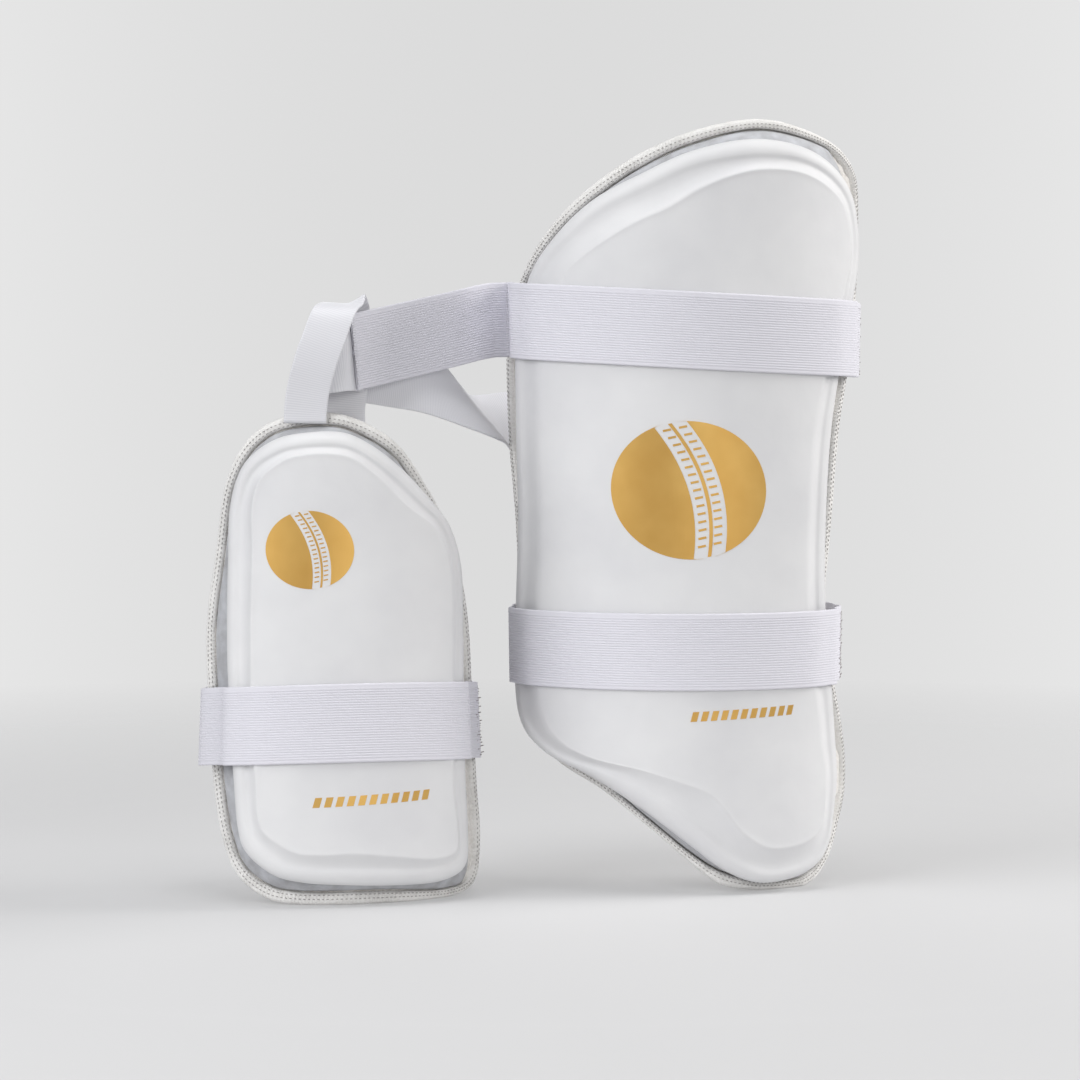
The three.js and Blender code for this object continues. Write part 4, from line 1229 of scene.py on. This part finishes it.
def ribbed_elastic(colours, pitch):
    """Woven elastic: rounded white ribs, grooves painted a dull lilac-grey as painted shade, and tiny cross
    threads.
    """
    material, tree, output, places = new_material("ribbed_elastic")
    cloth_at = places.outputs["UV"]
    grooves = add_node(tree, "ShaderNodeTexWave", {"Vector": cloth_at, "Scale": math.pi / 10 / pitch},
                       bands_direction="Y", wave_profile="SIN")
    ticks = add_node(tree, "ShaderNodeTexWave", {
        "Vector": cloth_at, "Scale": math.pi / 10 / 0.0019},
        bands_direction="X", wave_profile="SIN")
    # painted shade: the grooves between the ribs are painted dark lilac-grey
    shade = add_node(tree, "ShaderNodeMapRange", {0: grooves.outputs[1], 1: 0.12, 2: 0.8})
    rib_tone = blend_colours(tree, ticks.outputs[1], tuple(colours.elastic_tick), tuple(colours.elastic))
    colour = blend_colours(tree, shade.outputs[0], tuple(colours.elastic_groove), rib_tone)
    bump = add_node(tree, "ShaderNodeBump", {"Height": ticks.outputs[1], "Strength": 0.35,
                                             "Distance": 0.00012})
    weave = add_node(tree, "ShaderNodeBsdfPrincipled", {
        "Base Color": colour, "Roughness": 0.72, "IOR": 1.5, "Sheen Weight": 0.15,
        "Sheen Roughness": 0.4, "Normal": bump.outputs[0]})
    tree.links.new(weave.outputs[0], output.inputs[0])
    return material


def satin_tape(colours):
    """Woven satin tape: smooth and softly shiny, with fine cross ribs."""
    material, tree, output, places = new_material("satin_tape")
    cloth_at = places.outputs["UV"]
    ribs = add_node(tree, "ShaderNodeTexWave", {
        "Vector": cloth_at, "Scale": math.pi / 10 / 0.0012, "Distortion": 0.5, "Detail": 1.0},
        bands_direction="X", wave_profile="SIN")
    colour = blend_colours(tree, ribs.outputs[1], tuple(colours.tape_shade), tuple(colours.tape))
    bump = add_node(tree, "ShaderNodeBump", {"Height": ribs.outputs[1], "Strength": 0.2,
                                             "Distance": 0.0001})
    weave = add_node(tree, "ShaderNodeBsdfPrincipled", {
        "Base Color": colour, "Roughness": 0.48, "IOR": 1.5, "Sheen Weight": 0.1,
        "Normal": bump.outputs[0]})
    tree.links.new(weave.outputs[0], output.inputs[0])
    return material


def hook_tape(colours):
    """Moulded nylon hook tape: rows of tiny stiff hooks on an off-white ground, painted darker between the
    hooks as painted shade.
    """
    material, tree, output, places = new_material("hook_tape")
    hooks = add_node(tree, "ShaderNodeTexVoronoi", {"Vector": places.outputs["UV"], "Scale": 1 / 0.0014,
                                                    "Randomness": 0.15})
    # painted shade: the colour darkens from each hook toward the low ground between them
    spread = add_node(tree, "ShaderNodeMapRange", {0: hooks.outputs[0], 1: 0.2, 2: 0.6})
    colour = blend_colours(tree, spread.outputs[0], tuple(colours.hook), tuple(colours.hook_ground))
    bump = add_node(tree, "ShaderNodeBump", {"Height": hooks.outputs[0], "Strength": 0.8,
                                             "Distance": 0.0008}, invert=True)
    nylon = add_node(tree, "ShaderNodeBsdfPrincipled", {
        "Base Color": colour, "Roughness": 0.5, "IOR": 1.53, "Normal": bump.outputs[0]})
    tree.links.new(nylon.outputs[0], output.inputs[0])
    return material


def hot_stamped_foil(colours):
    """Hot-stamped gold foil: a bright metal film that takes the skin's fine grain."""
    material, tree, output, places = new_material("hot_stamped_foil")
    at = places.outputs["Object"]
    streaks = add_node(tree, "ShaderNodeMapping", {"Vector": at, "Scale": (1, 1, 0.06)})
    hair = add_node(tree, "ShaderNodeTexNoise", {"Vector": streaks.outputs[0], "Scale": 1 / 0.0012,
                                                 "Detail": 3.0})
    tone = add_node(tree, "ShaderNodeTexNoise", {"Vector": at, "Scale": 1 / 0.02, "Detail": 2.0})
    colour = blend_colours(tree, tone.outputs[0], tuple(colours.foil_shade), tuple(colours.foil))
    bump = add_node(tree, "ShaderNodeBump", {"Height": hair.outputs[0], "Strength": 0.25,
                                             "Distance": 0.00015})
    film = add_node(tree, "ShaderNodeBsdfPrincipled", {
        "Base Color": colour, "Metallic": 0.85, "Roughness": 0.5, "Normal": bump.outputs[0]})
    tree.links.new(film.outputs[0], output.inputs[0])
    return material


def studio_floor():
    """Pale matt studio floor that fades out before its edge."""
    material, tree, output, places = new_material("studio_floor")
    far = add_node(tree, "ShaderNodeVectorMath", {0: places.outputs["Object"]}, operation="LENGTH")
    fade = add_node(tree, "ShaderNodeMapRange", {0: far.outputs["Value"], 1: 0.45, 2: 1.3})
    paint = add_node(tree, "ShaderNodeBsdfPrincipled", {
        "Base Color": linear("#B4B4B5"), "Roughness": 0.9, "IOR": 1.45,
        "Specular IOR Level": 0.2, "Emission Color": (1.0, 1.0, 1.0, 1.0), "Emission Strength": 0.225})
    clear = add_node(tree, "ShaderNodeBsdfTransparent")
    mix = add_node(tree, "ShaderNodeMixShader", {0: fade.outputs[0], 1: paint.outputs[0],
                                                 2: clear.outputs[0]})
    tree.links.new(mix.outputs[0], output.inputs[0])
    return material


def studio_backdrop():
    """Evenly lit paper backdrop, a little brighter toward its sides."""
    material, tree, output, places = new_material("studio_backdrop")
    across = add_node(tree, "ShaderNodeSeparateXYZ", {0: places.outputs["Object"]})
    side = add_node(tree, "ShaderNodeMath", {0: across.outputs[0], 1: across.outputs[0]},
                    operation="MULTIPLY")
    tone = add_node(tree, "ShaderNodeMapRange", {0: side.outputs[0], 1: 0.0, 2: 1.1, 3: 0.715,
                                                 4: 0.79})
    glow = add_node(tree, "ShaderNodeEmission", {"Color": (1.0, 1.0, 1.0, 1.0),
                                                 "Strength": tone.outputs[0]})
    tree.links.new(glow.outputs[0], output.inputs[0])
    return material


def finish_of(builder, *values):
    """The material that a builder makes, made only once."""
    return bpy.data.materials.get(builder.__name__) or builder(*values)


# Add-on

def length_value(name, description, default):
    return bpy.props.FloatProperty(name=name, description=description, default=default, min=0.0001,
                                   precision=4, unit="LENGTH")


def colour_value(name, description, default):
    return bpy.props.FloatVectorProperty(name=name, description=description, subtype="COLOR", size=4,
                                         min=0.0, max=1.0, default=linear(default))


class GuardSizes(bpy.types.PropertyGroup):
    """Sizes of the layers and straps."""
    pad: length_value("Back pad", "Thickness of the towelling pad", 0.008)
    hem_width: length_value("Hem width", "Width of the bound edge", 0.007)
    hem_lip: length_value("Hem lip", "How far the hem stands over the pad", 0.002)
    gusset_depth: length_value("Gusset depth", "Height of the gusset under the shell", 0.0055)
    gusset_width: length_value("Gusset width", "How far the gusset runs under the shell", 0.012)
    shell_wall: length_value("Shell edge", "Height of the shell's rolled edge", 0.009)
    lip_wall: length_value("Lip", "Upright lip under the rolled edge", 0.0015)
    plateau: length_value("Raised middle", "Rise from the rim to the middle of the face", 0.003)
    seam: length_value("Seam", "Clearance between stitched layers", 0.0008)
    strap_width: length_value("Strap width", "Width of the elastic and the belt tape", 0.04)
    elastic: length_value("Elastic", "Thickness of the elastic", 0.0016)
    tape: length_value("Tape", "Thickness of the tape", 0.0012)
    loop_width: length_value("Loop width", "Width of the hanging loop", 0.022)


class GuardColours(bpy.types.PropertyGroup):
    """Colours of the finishes."""
    foam: colour_value("Foam skin", "Polyurethane skin", "#E7E7E8")
    foam_smudge: colour_value("Smudges", "Faint smudges on the skin", "#DEDEE0")
    lining: colour_value("Lining", "Knitted gusset lining", "#C9CBD0")
    lining_fold: colour_value("Lining folds", "Darker tone of the lining", "#A9A9AC")
    towelling: colour_value("Towelling", "Top of the pile", "#F2EFEB")
    # painted shade of the low ground between the towelling's tufts
    towelling_deep: colour_value("Deep towelling", "Ground between the tufts", "#D8D3CC")
    thread: colour_value("Thread", "Overlock thread", "#F7F6F4")
    thread_shade: colour_value("Thread shade", "Shaded overlock thread", "#E6E4E1")
    # painted shade: the needle thread's grey stands for the shade of its sunk stitches
    needle: colour_value("Needle thread", "Rows of needle stitches", "#B4B1AF")
    # dark tack thread: partly the brown specks at the straps' folds, partly painted shade between the ribs
    # there
    tack: colour_value("Tack thread", "Stitches at the straps' folds", "#75686A")
    elastic: colour_value("Elastic", "Ribs of the elastic", "#F8F8FB")
    elastic_tick: colour_value("Cross threads", "Cross threads on the ribs", "#E2E2EC")
    # painted shade in the grooves between the elastic's ribs
    elastic_groove: colour_value("Grooves", "Grooves between the ribs", "#8B8BA6")
    tape: colour_value("Tape", "Satin belt tape and loop", "#E9E9ED")
    tape_shade: colour_value("Tape shade", "Between the tape's cross ribs", "#DEDEE3")
    hook: colour_value("Hooks", "Tips of the hook tape", "#E2E0DB")
    # painted shade of the ground between the hooks
    hook_ground: colour_value("Hook ground", "Ground of the hook tape", "#C4C0B8")
    foil: colour_value("Foil", "Bright gold foil", "#EAC274")
    foil_shade: colour_value("Foil shade", "Deeper gold foil", "#D3A355")


class ThighGuardOperator:
    """Shared settings of the operators that add the set's pieces."""
    bl_options = {"REGISTER", "UNDO"}

    @staticmethod
    def chosen(context):
        return layers(context), context.scene.guard_colours


class GUARD_OT_shells(ThighGuardOperator, bpy.types.Operator):
    """Add both guards' moulded foam shells"""
    bl_idname = "thigh_guard.shells"
    bl_label = "Foam shells"

    def execute(self, context):
        sizes, colours = self.chosen(context)
        for guard in (OUTER, INNER):
            make_shell(guard, sizes, finish_of(polyurethane_skin, colours))
        return {"FINISHED"}


class GUARD_OT_foil(ThighGuardOperator, bpy.types.Operator):
    """Add the gold foil prints: a plain ball and a row of plain bars on each face"""
    bl_idname = "thigh_guard.foil"
    bl_label = "Foil prints"

    def execute(self, context):
        sizes, colours = self.chosen(context)
        foil = finish_of(hot_stamped_foil, colours)
        make_foil(OUTER, sizes, [(1.0, 212, 14, ball_strips(68, 72)),
                                 (16.5, 95.5, 3, bar_strips(49, 5, 11, 1.4))], foil)
        make_foil(INNER, sizes, [(-16.1, 183, 14, ball_strips(38, 40)),
                                 (2.3, 55.7, 3, bar_strips(50, 5, 11, 1.4))], foil)
        return {"FINISHED"}


class GUARD_OT_gussets(ThighGuardOperator, bpy.types.Operator):
    """Add the creased lining gussets between shells and back pads"""
    bl_idname = "thigh_guard.gussets"
    bl_label = "Gussets"

    def execute(self, context):
        sizes, colours = self.chosen(context)
        for guard in (OUTER, INNER):
            make_gusset(guard, sizes, finish_of(knitted_lining, colours))
        return {"FINISHED"}


class GUARD_OT_hems(ThighGuardOperator, bpy.types.Operator):
    """Add the bound hems and their overlock threads"""
    bl_idname = "thigh_guard.hems"
    bl_label = "Hems"

    def execute(self, context):
        sizes, colours = self.chosen(context)
        for guard in (OUTER, INNER):
            make_hem(guard, sizes, finish_of(overlock_thread, colours))
            make_overlock(guard, sizes, finish_of(overlock_thread, colours))
            make_needle_rows(guard, sizes, finish_of(needle_thread, colours))
        return {"FINISHED"}


class GUARD_OT_back_pads(ThighGuardOperator, bpy.types.Operator):
    """Add the towelling back pads"""
    bl_idname = "thigh_guard.back_pads"
    bl_label = "Back pads"

    def execute(self, context):
        sizes, colours = self.chosen(context)
        for guard in (OUTER, INNER):
            make_back_pad(guard, sizes, finish_of(cotton_towelling, colours))
        return {"FINISHED"}


class GUARD_OT_leg_straps(ThighGuardOperator, bpy.types.Operator):
    """Add the elastic leg straps and their hook patches"""
    bl_idname = "thigh_guard.leg_straps"
    bl_label = "Leg straps"

    def execute(self, context):
        sizes, colours = self.chosen(context)
        finishes = {"elastic": elastic_finish(sizes, colours), "hook": finish_of(hook_tape, colours),
                    "stitch": finish_of(bar_tack_thread, colours)}
        make_leg_strap(OUTER, sizes, OUTER_STRAP, "outer_lower_strap", finishes)
        make_leg_strap(INNER, sizes, INNER_STRAP, "inner_strap", finishes)
        return {"FINISHED"}


class GUARD_OT_belt(ThighGuardOperator, bpy.types.Operator):
    """Add the waist belt: ribbed elastic, woven tape and the hanging loop that carries it"""
    bl_idname = "thigh_guard.belt"
    bl_label = "Waist belt"

    def execute(self, context):
        sizes, colours = self.chosen(context)
        make_belt_elastic(sizes, elastic_finish(sizes, colours))
        face, *_ = belt_places(sizes)
        fold_stitches("belt_fold_stitches", face, sizes, finish_of(bar_tack_thread, colours), 9)
        make_belt_tape(sizes, finish_of(satin_tape, colours))
        make_hanging_loop(sizes, finish_of(satin_tape, colours))
        return {"FINISHED"}


def elastic_finish(sizes, colours):
    pitch = (sizes.strap_width - 4) / elastic_ribs(sizes) * MM
    return finish_of(ribbed_elastic, colours, pitch)


class GUARD_OT_stage(ThighGuardOperator, bpy.types.Operator):
    """Add the pale floor, the backdrop, the softboxes and the camera"""
    bl_idname = "thigh_guard.stage"
    bl_label = "Studio stage"

    def execute(self, context):
        make_stage()
        return {"FINISHED"}


def make_stage():
    scene = bpy.context.scene
    scene.view_settings.view_transform = "Standard"
    bpy.ops.mesh.primitive_plane_add(size=4)
    floor = bpy.context.object
    floor.name = "studio_floor"
    floor.data.materials.append(studio_floor())
    bpy.ops.mesh.primitive_uv_sphere_add(segments=48, ring_count=24, radius=6)
    dome = bpy.context.object
    dome.name = "studio_backdrop"
    dome.data.materials.append(studio_backdrop())
    for ray in ("diffuse", "glossy", "transmission", "volume_scatter", "shadow"):
        setattr(dome, f"visible_{ray}", False)
    world = bpy.data.worlds.new("studio_air")
    world.use_nodes = True
    air = world.node_tree.nodes["Background"]
    air.inputs["Color"].default_value = (0.95, 0.97, 1.0, 1.0)
    air.inputs["Strength"].default_value = 0.11
    scene.world = world
    aim = Vector((0, 0, 0.2))
    softbox("left_softbox", (-1.4, -1.1, 1.1), aim, 1.6, 25, (0.98, 0.985, 1.0))
    softbox("right_softbox", (1.65, 0.28, 0.95), aim, 1.0, 24, (1.0, 0.985, 0.965))
    softbox("front_softbox", (0.85, -2.0, 0.8), aim, 1.2, 13, (1.0, 0.99, 0.975))
    softbox("top_softbox", (0.0, -0.35, 2.1), aim, 1.3, 15, (1.0, 1.0, 1.0))
    softbox("back_softbox", (-0.5, 2.1, 1.0), aim, 1.2, 8, (1.0, 1.0, 1.0))
    lens = bpy.data.cameras.new("camera")
    lens.lens = 141.0
    lens.sensor_width = 36.0
    camera = bpy.data.objects.new("camera", lens)
    scene.collection.objects.link(camera)
    target = Vector((0.0016, -0.0416, 0.1858))
    camera.location = (0.0016, -2.2386, 0.3009)
    camera.rotation_euler = (target - camera.location).to_track_quat("-Z", "Y").to_euler()
    scene.camera = camera


def softbox(name, place, aim, size, power, colour):
    light = bpy.data.lights.new(name, "AREA")
    light.shape = "SQUARE"
    light.size = size
    light.energy = power
    light.color = colour
    lamp = bpy.data.objects.new(name, light)
    lamp.location = place
    lamp.rotation_euler = (aim - lamp.location).to_track_quat("-Z", "Y").to_euler()
    lamp.visible_camera = False
    bpy.context.collection.objects.link(lamp)


OPERATORS = (GUARD_OT_shells, GUARD_OT_foil, GUARD_OT_gussets, GUARD_OT_hems, GUARD_OT_back_pads,
             GUARD_OT_leg_straps, GUARD_OT_belt, GUARD_OT_stage)


class GUARD_PT_panel(bpy.types.Panel):
    """Buttons that add the set's pieces, and their sizes and colours"""
    bl_idname = "GUARD_PT_panel"
    bl_label = "Thigh guard set"
    bl_space_type = "VIEW_3D"
    bl_region_type = "UI"
    bl_category = "Thigh guard"

    def draw(self, context):
        for operator in OPERATORS:
            self.layout.operator(operator.bl_idname)
        for group in (context.scene.guard_sizes, context.scene.guard_colours):
            for name in group.__annotations__:
                self.layout.prop(group, name)


CLASSES = (GuardSizes, GuardColours, *OPERATORS, GUARD_PT_panel)


def register():
    for item in CLASSES:
        bpy.utils.register_class(item)
    bpy.types.Scene.guard_sizes = bpy.props.PointerProperty(type=GuardSizes)
    bpy.types.Scene.guard_colours = bpy.props.PointerProperty(type=GuardColours)


def unregister():
    del bpy.types.Scene.guard_colours
    del bpy.types.Scene.guard_sizes
    for item in reversed(CLASSES):
        bpy.utils.unregister_class(item)


def main():
    register()
    for operator in OPERATORS:
        group, name = operator.bl_idname.split(".")
        getattr(getattr(bpy.ops, group), name)()


if __name__ == "__main__":
    main()
